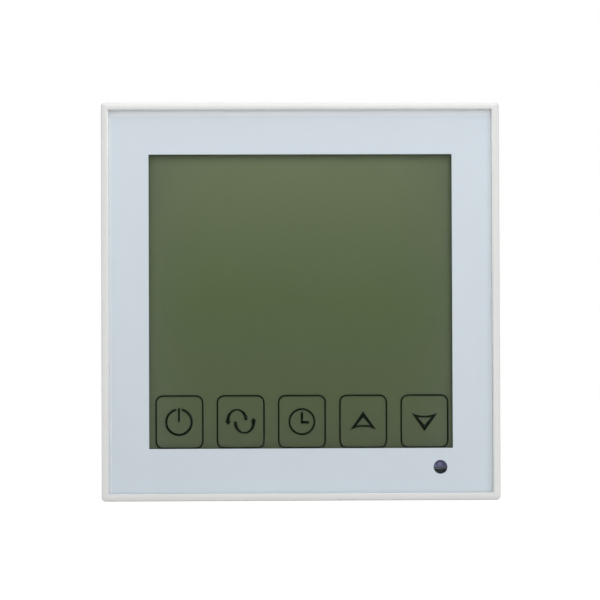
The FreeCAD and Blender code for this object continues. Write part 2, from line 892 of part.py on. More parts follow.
def ir_receiver():
    """Receiver package behind the upper part of the infrared window, with a lens bulge."""
    x = around(s["ir_x"], s["ir_body_width"])
    bottom = -s["ir_drop"] - 0.2
    top = bottom + s["ir_body_height"]
    package = block("ir_package", x, (face_rear + 0.6, board_front), (bottom, top))
    centre = (s["ir_x"], (bottom + top) / 2)
    lens = rod("ir_lens", "y", centre, s["ir_lens_radius"], (face_rear + 0.1, face_rear + 0.7))
    return fuse("ir_receiver", [package, lens])


def ir_light_shield():
    """Dark foam block below the receiver, which keeps the display's light off it."""
    x = around(s["ir_x"], s["shield_width"])
    top = -s["ir_drop"] - 0.3
    z = (top - s["shield_height"], top)
    return block("ir_light_shield", x, (face_rear + 0.8, board_front), z)


def temperature_sensor():
    """Glass bead on two legs, just inside the lower vents."""
    x, z = s["sensor_x"], -frame_inner + s["sensor_rise"]
    y = board_rear + 1.3
    bead = rod("sensor_bead", "z", (x, y), s["sensor_radius"], around(z, s["sensor_length"]))
    wires = []
    for side in (-1, 1):
        across = around(x + 0.45 * side, plain(0.35))
        wires.append(block(f"sensor_leg_{side}", across, (y - 0.2, y + 0.2), (z + 1.2, z + 5.0)))
        wires.append(block(f"sensor_foot_{side}", across, (board_rear, y + 0.2), (z + 4.6, z + 5.0)))
    return fuse("temperature_sensor", [bead] + wires)


def board_socket():
    """Socket on the control board's rear that takes the power base's pins."""
    x = (-header_half - 0.4, header_half + 0.4)
    z = around(header_z, s["socket_height"])
    case = block("socket_case", x, (board_rear, cover_rear - 0.2), z)
    holes = [
        block(
            f"socket_hole_{number}",
            around(pin, s["pin_width"] + 0.3),
            (board_rear + 0.3, cover_rear),
            around(header_z, s["pin_width"] + 0.3),
        )
        for number, pin in enumerate(header_x, start=1)
    ]
    return cut("board_socket", case, holes)


# Power base: housing, cover and springs ------------------------------------------------------------


def rear_housing():
    """Wall flange with two screw slots, and the stepped box that sits inside the wall box."""
    body = new_body("rear_housing")
    deep_z = (step_top, box_z[1])
    pad(body, "flange", rectangles(square(base_half)), (ZERO, base_front))
    dress("Fillet", body, "corners", plain(1.2), at_corner(base_half))
    pad(body, "deep_box", rectangles((box_x, deep_z)), (-s["base_thick"] / 2, s["box_depth"]))
    pad(body, "step", rectangles((box_x, box_z)), (-s["base_thick"] / 2, s["step_depth"]))
    inner_deep = (step_top + s["box_wall"], box_inner_z[1])
    pocket(body, "deep_room", rectangles((box_inner_x, inner_deep)), (base_front, box_floor))
    pocket(body, "step_room", rectangles((box_inner_x, box_inner_z)), (base_front, step_floor))
    seat_x = (box_inner_x[0] - s["cover_ledge"], box_inner_x[1] + s["cover_ledge"])
    seat_z = (box_inner_z[0] - s["cover_ledge"], box_inner_z[1] + s["cover_ledge"])
    pocket(body, "cover_seat", rectangles((seat_x, seat_z)), (base_front, cover_rear))
    posts(body)
    wall_slots(body)
    terminal_opening(body)
    louvres(body)
    spring_stakes(body)
    return body


def posts(body):
    """Corner posts: two carry the cover's screws and two the power board's."""
    radius = s["corner_boss"]
    pad(body, "cover_post_deep", circles(radius, cover_posts[:1]), (cover_rear, box_floor))
    pad(body, "cover_post_step", circles(radius, cover_posts[1:]), (cover_rear, step_floor))
    pad(body, "board_post_deep", circles(radius, board_posts[:1]), (power_rear, box_floor))
    pad(body, "board_post_step", circles(radius, board_posts[1:]), (power_rear, step_floor))
    pocket(body, "cover_pilots", circles(pilot_radius, cover_posts), (cover_rear, cover_rear + 3.6))
    pocket(body, "board_pilots", circles(pilot_radius, board_posts), (power_rear, power_rear + 2.7))


def wall_slots(body):
    """The two slots for the wall screws, one on each side of the box."""
    reach = s["slot_length"] / 2 - s["slot_radius"]
    sides = [s["slot_pitch"] / 2 * i for i in (-1, 1)]
    spans = [(around(x, reach * 2), around(ZERO, s["slot_radius"] * 2)) for x in sides]
    pocket(body, "slots", rectangles(*spans), (base_front, ZERO))
    ends = [(x + reach * i, ZERO) for x in sides for i in (-1, 1)]
    pocket(body, "slot_ends", circles(s["slot_radius"], ends), (base_front, ZERO))


def terminal_opening(body):
    x = (-terminal_half - 0.25, terminal_half + 0.25)
    z = (terminal_bottom - 0.2, terminal_top + 0.2)
    pocket(body, "terminal_opening", rectangles((x, z)), (step_floor, s["step_depth"]))


def louvres(body):
    """Cooling slots in the rear wall, over the relays, repeated along X."""
    slots = count("louvre_count")
    first = s["louvre_pitch"] * (-(slots - 1) / 2)
    z = around((step_top + box_z[1]) / 2, s["louvre_length"])
    x = around(first, s["louvre_width"])
    before = measured(body)
    slot = pocket(body, "louvre", rectangles((x, z)), (box_floor, s["box_depth"]))
    pattern = body.newObject("PartDesign::LinearPattern", "louvre_pattern")
    pattern.Originals = [slot]
    pattern.Direction = (slot.Profile[0], ["H_Axis"])
    drive(pattern, "Length", s["louvre_pitch"] * (slots - 1))
    pattern.Occurrences = slots
    body.Tip = pattern
    one_slot = float(s["louvre_width"]) * float(s["louvre_length"]) * float(s["box_wall"])
    if before - measured(body) < one_slot * (slots - 0.5):
        raise ValueError("the louvres aren't all cut")


def stake_centres():
    z = base_half - 3.2
    return [(s["spring_x"] * i, z * j) for i, j in spring_centres]


def spring_stakes(body):
    """Stubs that are melted over the springs' feet."""
    pad(body, "stakes", circles(plain(0.8), stake_centres()), (base_front, base_front - 0.5))


def retaining_springs():
    """Four sheet-steel springs at the flange's edge; each nose snaps into the frame's groove."""
    return group("retaining_springs", [retaining_spring(i, j) for i, j in spring_centres])


def retaining_spring(side, way):
    name = f"spring_{'right' if side > 0 else 'left'}_{'upper' if way > 0 else 'lower'}"
    body = new_body(name)
    face, edge, sheet_steel = base_front, base_half, s["spring_sheet"]
    bend = board_rear + sheet_steel + 0.3
    profile = [
        (face, edge - 4.6),
        (face, edge - 1.0),
        (bend, edge - 1.0),
        (bend, edge - 0.35),
        (face - 1.3, edge + 0.1),
        (face - 0.7, edge - 0.3),
        (face - 0.55, edge - 0.05),
        (face - 1.3, edge + 0.45),
        (bend - sheet_steel, edge - 0.2),
        (bend - sheet_steel, edge - 1.0 - sheet_steel),
        (face - sheet_steel, edge - 1.0 - sheet_steel),
        (face - sheet_steel, edge - 4.6),
    ]
    sketch = side_sketch(body, "profile", -s["spring_width"] / 2)
    draw_outline(sketch, profile)
    extrude("Pad", body, sketch, s["spring_width"], False)
    hole = circles(plain(0.85), [(ZERO, edge - 3.2)])
    pocket(body, "stake_hole", hole, (face - sheet_steel, face))
    turned = FreeCAD.Rotation(FreeCAD.Vector(0, 1, 0), 0 if way > 0 else 180)
    body.Placement = FreeCAD.Placement(FreeCAD.Vector(), turned)
    drive(body, "Placement.Base.x", s["spring_x"] * side)
    return body


def box_cover():
    """Flat cover over the box, open for the control board's socket."""
    play = 0.2
    x = (box_inner_x[0] - s["cover_ledge"] + play, box_inner_x[1] + s["cover_ledge"] - play)
    z = (box_inner_z[0] - s["cover_ledge"] + play, box_inner_z[1] + s["cover_ledge"] - play)
    body = plate("box_cover", x, z, (cover_rear, base_front))
    socket_x = (-header_half - 0.9, header_half + 0.9)
    socket_z = around(header_z, s["socket_height"] + 1.0)
    pocket(body, "socket_opening", rectangles((socket_x, socket_z)), (base_front, cover_rear))
    pocket(body, "screw_holes", circles(hole_radius, cover_posts), (base_front, cover_rear))
    return body


# Power base: board and what stands on it -----------------------------------------------------------


def power_board():
    """Board with cut-back corners round the cover's posts and slots for the terminals' legs."""
    body = plate("power_board", power_x, power_z, (power_rear, power_front))
    reach = s["corner_boss"] * 2 + 0.3
    corners = [
        ((power_x[0] - 0.1, box_inner_x[0] + reach), (box_inner_z[1] - reach, power_z[1] + 0.1)),
        ((box_inner_x[1] - reach, power_x[1] + 0.1), (power_z[0] - 0.1, box_inner_z[0] + reach)),
    ]
    pocket(body, "corners", rectangles(*corners), (power_front, power_rear))
    pocket(body, "screw_holes", circles(hole_radius, board_posts), (power_front, power_rear))
    pins = circles(s["pin_width"] * 0.8, [(x, header_z) for x in header_x])
    pocket(body, "pin_holes", pins, (power_front, power_rear))
    legs = [(around(x, leg_slot[0]), leg_slot[1]) for x in terminal_x]
    pocket(body, "leg_slots", rectangles(*legs), (power_front, power_rear))
    return body


def relay(number):
    """Sealed relay: one of a row of four, with the seam of its base near the board."""
    label = f"relay_{number}"
    x = s["relay_pitch"] * (number - 2.5)
    z = (relay_low, relay_low + s["relay_height"])
    top = power_rear + s["relay_tall"]
    cap = block(f"{label}_cap", around(x, s["relay_width"]), (power_rear + 0.9, top), z)
    foot_x = around(x, s["relay_width"] - 0.4)
    foot = block(f"{label}_foot", foot_x, (power_rear, power_rear + 1.0), (z[0] + 0.2, z[1] - 0.2))
    return fuse(label, [cap, foot])


def transformer():
    """Switching transformer: a ferrite core with two windows, and the bobbin through them."""
    x, z = s["transformer_x"], upper_row
    middle = power_rear + s["coil_tall"] / 2
    y = around(middle, s["core_tall"])
    through = (y[0] - 0.1, y[1] + 0.1)
    core = block("core_block", around(x, s["core_width"]), y, around(z, s["core_height"]))
    window_tall = around(z, s["coil_height"] + 0.3)
    window_spans = [around(x + s["core_window_x"] * i, s["core_window"]) for i in (-1, 1)]
    windows = [
        block(f"core_window_{number}", span, through, window_tall)
        for number, span in enumerate(window_spans)
    ]
    core = cut("transformer_core", core, windows)
    coil_y = (power_rear, power_rear + s["coil_tall"])
    coil = block("coil_block", around(x, s["coil_width"]), coil_y, around(z, s["coil_height"]))
    leg_y = (y[0] - 0.05, y[1] + 0.05)
    leg_wide = s["core_window_x"] * 2 - s["core_window"] + 0.1
    leg = block("coil_leg_room", around(x, leg_wide), leg_y, window_tall)
    return [core, cut("transformer_winding", coil, [leg])]


def can_capacitor(kind, z):
    """Electrolytic capacitor: a can with a rolled groove near its foot."""
    label = f"{kind}_capacitor"
    x, radius, tall = s[f"{kind}_x"], s[f"{kind}_radius"], s[f"{kind}_tall"]
    can = rod(f"{label}_can", "y", (x, z), radius, (power_rear, power_rear + tall))
    groove = doc.addObject("Part::Torus", f"{label}_groove")
    groove.Placement.Rotation = FreeCAD.Rotation(FreeCAD.Vector(1, 0, 0), 90)
    drive(groove, "Radius1", radius + 0.15)
    drive(groove, "Radius2", plain(0.45))
    drive(groove, "Placement.Base.x", x)
    drive(groove, "Placement.Base.y", power_rear + 1.8)
    drive(groove, "Placement.Base.z", z)
    return cut(label, can, [groove])


def film_capacitor():
    z = around(upper_row - s["film_drop"], s["film_height"])
    y = (power_rear, power_rear + s["film_tall"])
    return block("film_capacitor", around(s["film_x"], s["film_width"]), y, z)


def varistor():
    """Disc on edge, with its legs down to the board."""
    x, z = s["varistor_x"], upper_row + 0.6
    y = power_rear + s["varistor_stand"]
    disc = rod("varistor_disc", "z", (x, y), s["varistor_radius"], around(z, s["varistor_thick"]))
    wire = plain(0.6)
    leg_x = [around(x + 2.0 * i, wire) for i in (-1, 1)]
    legs = [
        block(f"varistor_leg_{number}", span, (power_rear, y), around(z, wire))
        for number, span in enumerate(leg_x)
    ]
    return fuse("varistor", [disc] + legs)


def fuse_can():
    centre = (s["fuse_x"], upper_row + s["fuse_rise"])
    return rod("fuse", "y", centre, s["fuse_radius"], (power_rear, power_rear + s["fuse_tall"]))


def pin_header():
    """Insulator strip on the power board's front, with a hole for each pin."""
    x = (-header_half, header_half)
    z = around(header_z, s["header_height"])
    strip = block("header_strip", x, (cover_rear + 0.4, power_front), z)
    holes = [
        block(f"header_hole_{i}", around(pin, s["pin_width"]), (cover_rear, power_rear), pin_z())
        for i, pin in enumerate(header_x, start=1)
    ]
    return cut("pin_header", strip, holes)


def pin_z():
    return around(header_z, s["pin_width"])


def header_pins():
    """Square pins from the power board, through the header, to inside the socket."""
    y = (pin_tip, power_rear - 0.2)
    pins = [
        block(f"pin_{number}", around(x, s["pin_width"]), y, pin_z())
        for number, x in enumerate(header_x, start=1)
    ]
    return group("header_pins", pins)


# Power base: wiring terminals ------------------------------------------------------------------------


def terminal_housing():
    """Moulded block with a chamber, a screw hole and a wire entry for each terminal."""
    z = (terminal_bottom, terminal_top)
    body = plate("terminal_housing", (-terminal_half, terminal_half), z, (power_rear, terminal_rear))
    room = s["cage_width"] / 2 + s["cage_play"]
    rooms = [((x - room, x + room), cavity_z) for x in terminal_x]
    pocket(body, "chambers", rectangles(*rooms), (cavity_front, cavity_rear))
    axes = [(x, terminal_z) for x in terminal_x]
    shank_room, head_room = s["clamp_shank"] + 0.1, s["clamp_head"] + 0.1
    access = s["clamp_head"] - 0.15
    room_rear = head_rear + 0.2
    pocket(body, "shank_holes", circles(shank_room, axes), (cavity_rear, head_front))
    pocket(body, "head_rooms", circles(head_room, axes), (head_front - 0.05, room_rear))
    pocket(body, "access_holes", circles(access, axes), (room_rear, terminal_rear))
    legs = [(around(x, leg_slot[0]), leg_slot[1]) for x in terminal_x]
    pocket(body, "leg_slots", rectangles(*legs), (power_rear, cavity_front))
    wire_entries(body)
    return body


def wire_entries(body):
    """Round wire entries in the lower face, level with the open cages."""
    before = measured(body)
    sketch = attach(body, "wire_entries", xy_plane(body), terminal_bottom)
    y = cage_front + cage_plate + wire_gap / 2
    for x in terminal_x:
        draw_circle(sketch, x, y, s["wire_radius"])
    extrude("Pocket", body, sketch, cavity_z[0] - terminal_bottom, True)
    if measured(body) > before - 1e-4:
        raise ValueError("the wire entries cut nothing")


def terminal_contacts():
    """Six tinned bars inside the cages, each with a leg through the power board."""
    solids = []
    for number, x in enumerate(terminal_x, start=1):
        bar_z = (cage_z[0] + 0.2, leg_z[1])
        wide = around(x, s["contact_width"])
        bar = block(f"contact_bar_{number}", wide, (bar_front, bar_rear), bar_z)
        leg_y = (power_front - 0.8, bar_front + 0.1)
        leg = block(f"contact_leg_{number}", around(x, s["contact_leg"]), leg_y, leg_z)
        solids.append(fuse(f"contact_{number}", [bar, leg]))
    return group("terminal_contacts", solids)


def terminal_screw(number):
    """Slotted clamp screw: its end bears on the contact bar, and its head stays in the housing."""
    label = f"terminal_screw_{number}"
    axis = (ZERO, terminal_z)
    head = rod(f"{label}_head", "y", axis, s["clamp_head"], (head_front, head_rear))
    shank_y = (bar_rear + 0.1, head_front + 0.1)
    shank = rod(f"{label}_shank", "y", axis, s["clamp_shank"], shank_y)
    slot_y = (head_rear - 0.7, head_rear + 0.1)
    slot_x = around(ZERO, s["clamp_head"] * 2 + 0.2)
    slot = block(f"{label}_slot", slot_x, slot_y, around(axis[1], s["clamp_slot"]))
    screw = cut(label, fuse(f"{label}_solid", [head, shank]), [slot])
    drive(screw, "Placement.Base.x", terminal_x[number - 1])
    return screw


def terminal_cage(number):
    """Square tube that the screw pulls up to press the wire against the contact bar."""
    body = new_body(f"terminal_cage_{number}")
    half = s["cage_width"] / 2
    pad(body, "block", rectangles(((-half, half), cage_z)), (cage_front, cage_rear))
    room = (-half + s["cage_sheet"], half - s["cage_sheet"])
    sketch = attach(body, "room", xy_plane(body), cage_z[1])
    draw_rectangle(sketch, room, (cage_front + cage_plate, cage_rear - s["cage_web"]))
    extrude("Pocket", body, sketch, s["cage_length"], False)
    thread = circles(s["clamp_shank"] + 0.05, [(ZERO, terminal_z)])
    pocket(body, "thread", thread, (cage_rear - s["cage_web"], cage_rear))
    drive(body, "Placement.Base.x", terminal_x[number - 1])
    return body


def xy_plane(body):
    return [f for f in body.Origin.OriginFeatures if f.Role == "XY_Plane"][0]


# The assembly ----------------------------------------------------------------------------------------


def front_unit():
    return [
        front_frame(),
        touch_glass(),
        mask_film(),
        glass_adhesive(),
        *display_layers(),
        backlight_leds(),
        lcd_holder(),
        zebra_strip(),
        control_board(),
        screw_set("board_screws", boss_centres, board_rear, screw_tip),
        chip("microcontroller", s["micro_x"], s["micro_z"], s["micro_side"]),
        chip("display_driver", s["driver_x"], s["driver_z"], s["driver_side"]),
        crystal(),
        board_passives(),
        backup_cell(),
        cell_clip(),
        buzzer(),
        ir_receiver(),
        ir_light_shield(),
        temperature_sensor(),
        board_socket(),
    ]


def power_base():
    return [
        rear_housing(),
        retaining_springs(),
        box_cover(),
        screw_set("cover_screws", cover_posts, base_front, cover_rear + 3.2),
        power_board(),
        screw_set("power_board_screws", board_posts, power_front, power_rear + 2.4),
        *[relay(number) for number in (1, 2, 3, 4)],
        *transformer(),
        can_capacitor("bulk", upper_row - s["bulk_drop"]),
        can_capacitor("output", upper_row + s["output_rise"]),
        film_capacitor(),
        varistor(),
        fuse_can(),
        pin_header(),
        header_pins(),
        terminal_housing(),
        terminal_contacts(),
    ]


def terminals():
    numbers = range(1, count("terminal_count") + 1)
    return [terminal_screw(n) for n in numbers] + [terminal_cage(n) for n in numbers]


def write(nodes):
    """Check every object, then write one file for each sub-part."""
    doc.recompute()
    failed = [o.Name for o in doc.Objects if {"Invalid", "Error"} & set(o.State)]
    if failed:
        raise ValueError(f"not built: {failed}")
    for node in nodes:
        if node.Shape.isNull() or not node.Shape.isValid() or not node.Shape.Solids:
            raise ValueError(f"bad shape: {node.Label}")
    os.makedirs("parts", exist_ok=True)
    for node in nodes:
        node.Shape.exportStep(f"parts/{node.Label}.step")
        print(f"{node.Label}: {len(node.Shape.Solids)} solids, {node.Shape.Volume:.1f} mm3")
    print(f"{len(nodes)} nodes")


write(front_unit() + power_base() + terminals())
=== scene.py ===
import math

import bmesh
import bpy
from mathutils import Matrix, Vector


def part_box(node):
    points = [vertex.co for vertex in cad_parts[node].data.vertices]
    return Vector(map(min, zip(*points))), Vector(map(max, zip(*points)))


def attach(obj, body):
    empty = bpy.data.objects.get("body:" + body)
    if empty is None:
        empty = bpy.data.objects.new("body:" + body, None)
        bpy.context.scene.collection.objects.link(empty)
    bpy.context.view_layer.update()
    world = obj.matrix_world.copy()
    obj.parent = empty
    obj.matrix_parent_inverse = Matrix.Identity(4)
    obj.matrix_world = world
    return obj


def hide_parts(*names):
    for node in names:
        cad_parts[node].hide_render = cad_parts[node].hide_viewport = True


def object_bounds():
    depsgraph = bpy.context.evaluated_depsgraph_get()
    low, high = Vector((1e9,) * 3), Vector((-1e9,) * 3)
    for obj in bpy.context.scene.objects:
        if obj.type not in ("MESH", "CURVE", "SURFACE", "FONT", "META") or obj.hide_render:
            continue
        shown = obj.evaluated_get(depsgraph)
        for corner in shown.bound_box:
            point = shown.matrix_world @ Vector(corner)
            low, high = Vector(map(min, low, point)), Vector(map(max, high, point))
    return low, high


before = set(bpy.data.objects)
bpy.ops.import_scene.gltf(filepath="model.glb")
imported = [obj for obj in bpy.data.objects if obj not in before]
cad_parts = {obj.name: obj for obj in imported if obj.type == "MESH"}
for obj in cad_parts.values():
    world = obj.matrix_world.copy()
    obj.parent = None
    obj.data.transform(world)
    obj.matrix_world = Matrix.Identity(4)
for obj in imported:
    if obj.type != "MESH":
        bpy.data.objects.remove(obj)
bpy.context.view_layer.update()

# Rear housing ------------------------------------------------------------------------------------
# The wall flange and the stepped box behind it are one injection moulding in off-white flame-
# retardant plastic. An eroded mould leaves its fine dull grain, and two screws hold it to the wall.

MM = 0.001


def tint(red, green, blue):
    """A colour from its usual 0 to 255 numbers, as linear light."""
    parts = (value / 255 for value in (red, green, blue))
    return tuple(p / 12.92 if p <= 0.04045 else ((p + 0.055) / 1.055) ** 2.4 for p in parts)


def lighter(colour, times):
    return tuple(min(part * times, 1.0) for part in colour)


class Wire:
    """A value on its way between a finish's nodes, which arithmetic can work on."""

    def __init__(self, finish, socket):
        self.finish = finish
        self.socket = socket

    def work(self, operation, *values):
        return self.finish.node("ShaderNodeMath", {"operation": operation}, dict(enumerate(values)))

    def __add__(self, other):
        return self.work("ADD", self, other)

    __radd__ = __add__

    def __sub__(self, other):
        return self.work("SUBTRACT", self, other)

    def __rsub__(self, other):
        return self.work("SUBTRACT", other, self)

    def __mul__(self, other):
        return self.work("MULTIPLY", self, other)

    __rmul__ = __mul__

    def __truediv__(self, other):
        return self.work("DIVIDE", self, other)

    def __rtruediv__(self, other):
        return self.work("DIVIDE", other, self)

    def __pow__(self, other):
        return self.work("POWER", self, other)

    def __lt__(self, other):
        return self.work("LESS_THAN", self, other)

    def __gt__(self, other):
        return self.work("GREATER_THAN", self, other)

    def __abs__(self):
        return self.work("ABSOLUTE", self)

    def floor(self):
        return self.work("FLOOR", self)

    def fraction(self):
        return self.work("FRACT", self)

    def most(self, other):
        return self.work("MAXIMUM", self, other)


class Nodes:
    """The nodes of a material or of the surround."""

    def __init__(self, owner):
        owner.use_nodes = True
        self.tree = owner.node_tree

    def node(self, kind, settings=None, inputs=None, output=0):
        """Add a node of a type: its settings first, then the values or links of its sockets."""
        made = self.tree.nodes.new(kind)
        for name, value in (settings or {}).items():
            setattr(made, name, value)
        self.feed(made, inputs or {})
        return Wire(self, self.find(made.outputs, output))

    def find(self, sockets, key):
        if isinstance(key, int):
            return sockets[key]
        return next(socket for socket in sockets if key in (socket.identifier, socket.name))

    def feed(self, node, inputs):
        for key, value in inputs.items():
            socket = self.find(node.inputs, key)
            if isinstance(value, Wire):
                self.tree.links.new(value.socket, socket)
            elif socket.type == "RGBA":
                socket.default_value = (*value, 1.0)
            else:
                socket.default_value = value

    def seen(self):
        """1 where a camera sees it, or sees it in a mirror or through glass, and 0 elsewhere."""
        kinds = ("Camera", "Glossy", "Transmission")
        rays = [self.node("ShaderNodeLightPath", {}, {}, f"Is {kind} Ray") for kind in kinds]
        return rays[0].most(rays[1]).most(rays[2])


class Finish(Nodes):
    """A material being made: its principled shader, and the nodes that feed it."""

    def __init__(self, name, colour, roughness, metallic=0.0):
        self.material = bpy.data.materials.new(name)
        super().__init__(self.material)
        self.shader = self.tree.nodes["Principled BSDF"]
        self.place = self.node("ShaderNodeTexCoord", output="Object")
        self.shade({"Base Color": colour, "Roughness": roughness, "Metallic": metallic})

    def shade(self, inputs):
        self.feed(self.shader, inputs)

    def noise(self, per_mm, detail=2.0, stretch=(1, 1, 1)):
        """Soft noise about one half, with so many features to a millimetre."""
        stretched = {0: self.place, 1: stretch}
        place = self.node("ShaderNodeVectorMath", {"operation": "MULTIPLY"}, stretched)
        inputs = {"Vector": place, "Scale": per_mm / MM, "Detail": detail}
        return self.node("ShaderNodeTexNoise", {}, inputs)

    def mix(self, factor, first, second):
        """The first colour where the factor is 0, and the second where it is 1."""
        inputs = {"Factor_Float": factor, "A_Color": first, "B_Color": second}
        return self.node("ShaderNodeMix", {"data_type": "RGBA"}, inputs, "Result_Color")

    def bump(self, height, depth):
        """Raise the surface by a height between 0 and 1, to a depth in millimetres."""
        inputs = {"Height": height, "Distance": depth * MM}
        self.shade({"Normal": self.node("ShaderNodeBump", {}, inputs)})

    def axes(self):
        """A point's three coordinates, in millimetres."""
        parts = [self.node("ShaderNodeSeparateXYZ", {}, {0: self.place}, axis) for axis in "XYZ"]
        return [part / MM for part in parts]

    def chance(self, first, second, third=0.0):
        """A random number for each cell of a grid, from the cell's whole numbers."""
        cell = self.node("ShaderNodeCombineXYZ", {}, {0: first, 1: second, 2: third})
        return self.node("ShaderNodeTexWhiteNoise", {}, {"Vector": cell})


def cover(finish, *nodes):
    """Give a finish to parts that keep their own shape."""
    for node in nodes:
        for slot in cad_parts[node].material_slots:
            slot.material = finish.material


def moulded(name, colour, roughness, grain=0.004):
    """Moulded plastic: faintly cloudy, with a fine grain of the given depth in millimetres."""
    finish = Finish(name, colour, roughness)
    cloud = finish.noise(0.12, 3)
    finish.shade(
        {
            "Base Color": finish.mix(cloud, lighter(colour, 0.965), lighter(colour, 1.03)),
            "Roughness": roughness + (cloud - 0.5) * 0.12,
        }
    )
    finish.bump(finish.noise(4.5), grain)
    return finish


cover(moulded("housing_plastic", tint(231, 231, 227), 0.55, 0.012), "rear_housing", "box_cover")

# Wiring terminals --------------------------------------------------------------------------------
# A green nylon block, moulded with a chamber for each wire. In it run zinc-plated clamp screws and
# steel cages over tinned brass bars, and the block's pegs and legs are soldered to the power board.

TERMINALS = range(1, 7)


def plated(name, colour, roughness, grain=(1, 1, 1)):
    """Plated metal: streaks that follow its grain, and small dull specks in the plating."""
    finish = Finish(name, colour, roughness, 1.0)
    streak = finish.noise(0.6, 4, grain)
    speck = finish.noise(3.0, 1) > 0.68
    finish.shade(
        {
            "Base Color": finish.mix(streak, lighter(colour, 0.82), lighter(colour, 1.1)),
            "Roughness": roughness + (streak - 0.5) * 0.2 + speck * 0.12,
        }
    )
    finish.bump(streak, 0.01)
    return finish


cover(moulded("terminal_plastic", tint(70, 140, 84), 0.42, 0.01), "terminal_housing")
cover(plated("terminal_brass", tint(214, 206, 176), 0.3, (8, 1, 1)), "terminal_contacts")
zinc = plated("plated_steel", tint(205, 207, 210), 0.34, (1, 6, 1))
for number in TERMINALS:
    cover(zinc, f"terminal_screw_{number}", f"terminal_cage_{number}")


def finish_with(piece, name, finish, body, slot, *replaced):
    """Name a finished piece, give it its material, and say what it rides on and stands for."""
    piece.name = name
    piece.data.materials.clear()
    piece.data.materials.append(finish.material)
    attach(piece, body)
    if replaced:
        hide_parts(*replaced)


def deselect():
    if bpy.context.mode != "OBJECT":
        bpy.ops.object.mode_set(mode="OBJECT")
    bpy.ops.object.select_all(action="DESELECT")


def join(pieces):
    """Make one piece of several."""
    deselect()
    for piece in pieces:
        piece.select_set(True)
    bpy.context.view_layer.objects.active = pieces[0]
    bpy.ops.object.join()
    return bpy.context.object


def terminal_number(number):
    """A raised number on the block's rear, over its own clamp screw."""
    _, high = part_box("terminal_housing")
    screw_low, screw_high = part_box(f"terminal_screw_{number}")
    figure_tall, proud, gap = 2.2 * MM, 0.08 * MM, 0.9 * MM
    height_in_font = 0.7
    merge_within, sliver = 0.001 * MM, 0.004 * MM
    screw_radius = (screw_high.x - screw_low.x) / 2
    base = (screw_low.z + screw_high.z) / 2 + screw_radius + gap
    deselect()
    bpy.ops.object.text_add(location=(0, 0, 0))
    figure = bpy.context.object
    figure.data.body = str(number)
    figure.data.size = figure_tall / height_in_font
    figure.data.extrude = proud
    figure.data.align_x = "CENTER"
    bpy.ops.object.convert(target="MESH")
    figure = bpy.context.object
    figure.rotation_euler = (math.pi / 2, 0, math.pi)
    figure.location = ((screw_low.x + screw_high.x) / 2, high.y, base)
    bpy.ops.object.transform_apply(location=True, rotation=True, scale=True)
    bpy.ops.object.mode_set(mode="EDIT")
    bpy.ops.mesh.select_all(action="SELECT")
    bpy.ops.mesh.remove_doubles(threshold=merge_within)
    bpy.ops.mesh.dissolve_degenerate(threshold=sliver)
    bpy.ops.mesh.select_all(action="SELECT")
    bpy.ops.mesh.normals_make_consistent(inside=False)
    bpy.ops.object.mode_set(mode="OBJECT")
    return figure


figures = join([terminal_number(number) for number in TERMINALS])
finish_with(
    figures,
    "terminal_numbers",
    moulded("figure_ink", tint(222, 226, 220), 0.5, 0.004),
    "power_base",
    "terminal_plastic",
)

# Power board -------------------------------------------------------------------------------------
# A glass-fibre board with green solder mask over its copper. Traces and tinned holes show through
# the mask, and two cross-head screws hold the board to posts inside the box.


def outline_round(x, z, node, margin, line):
    """A mask for the printed outline round a part: a line a little outside its edges."""
    low, high = (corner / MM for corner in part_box(node))
    beyond_x = abs(x - (low.x + high.x) / 2) - ((high.x - low.x) / 2 + margin)
    beyond_z = abs(z - (low.z + high.z) / 2) - ((high.z - low.z) / 2 + margin)
    return abs(beyond_x.most(beyond_z)) < line / 2


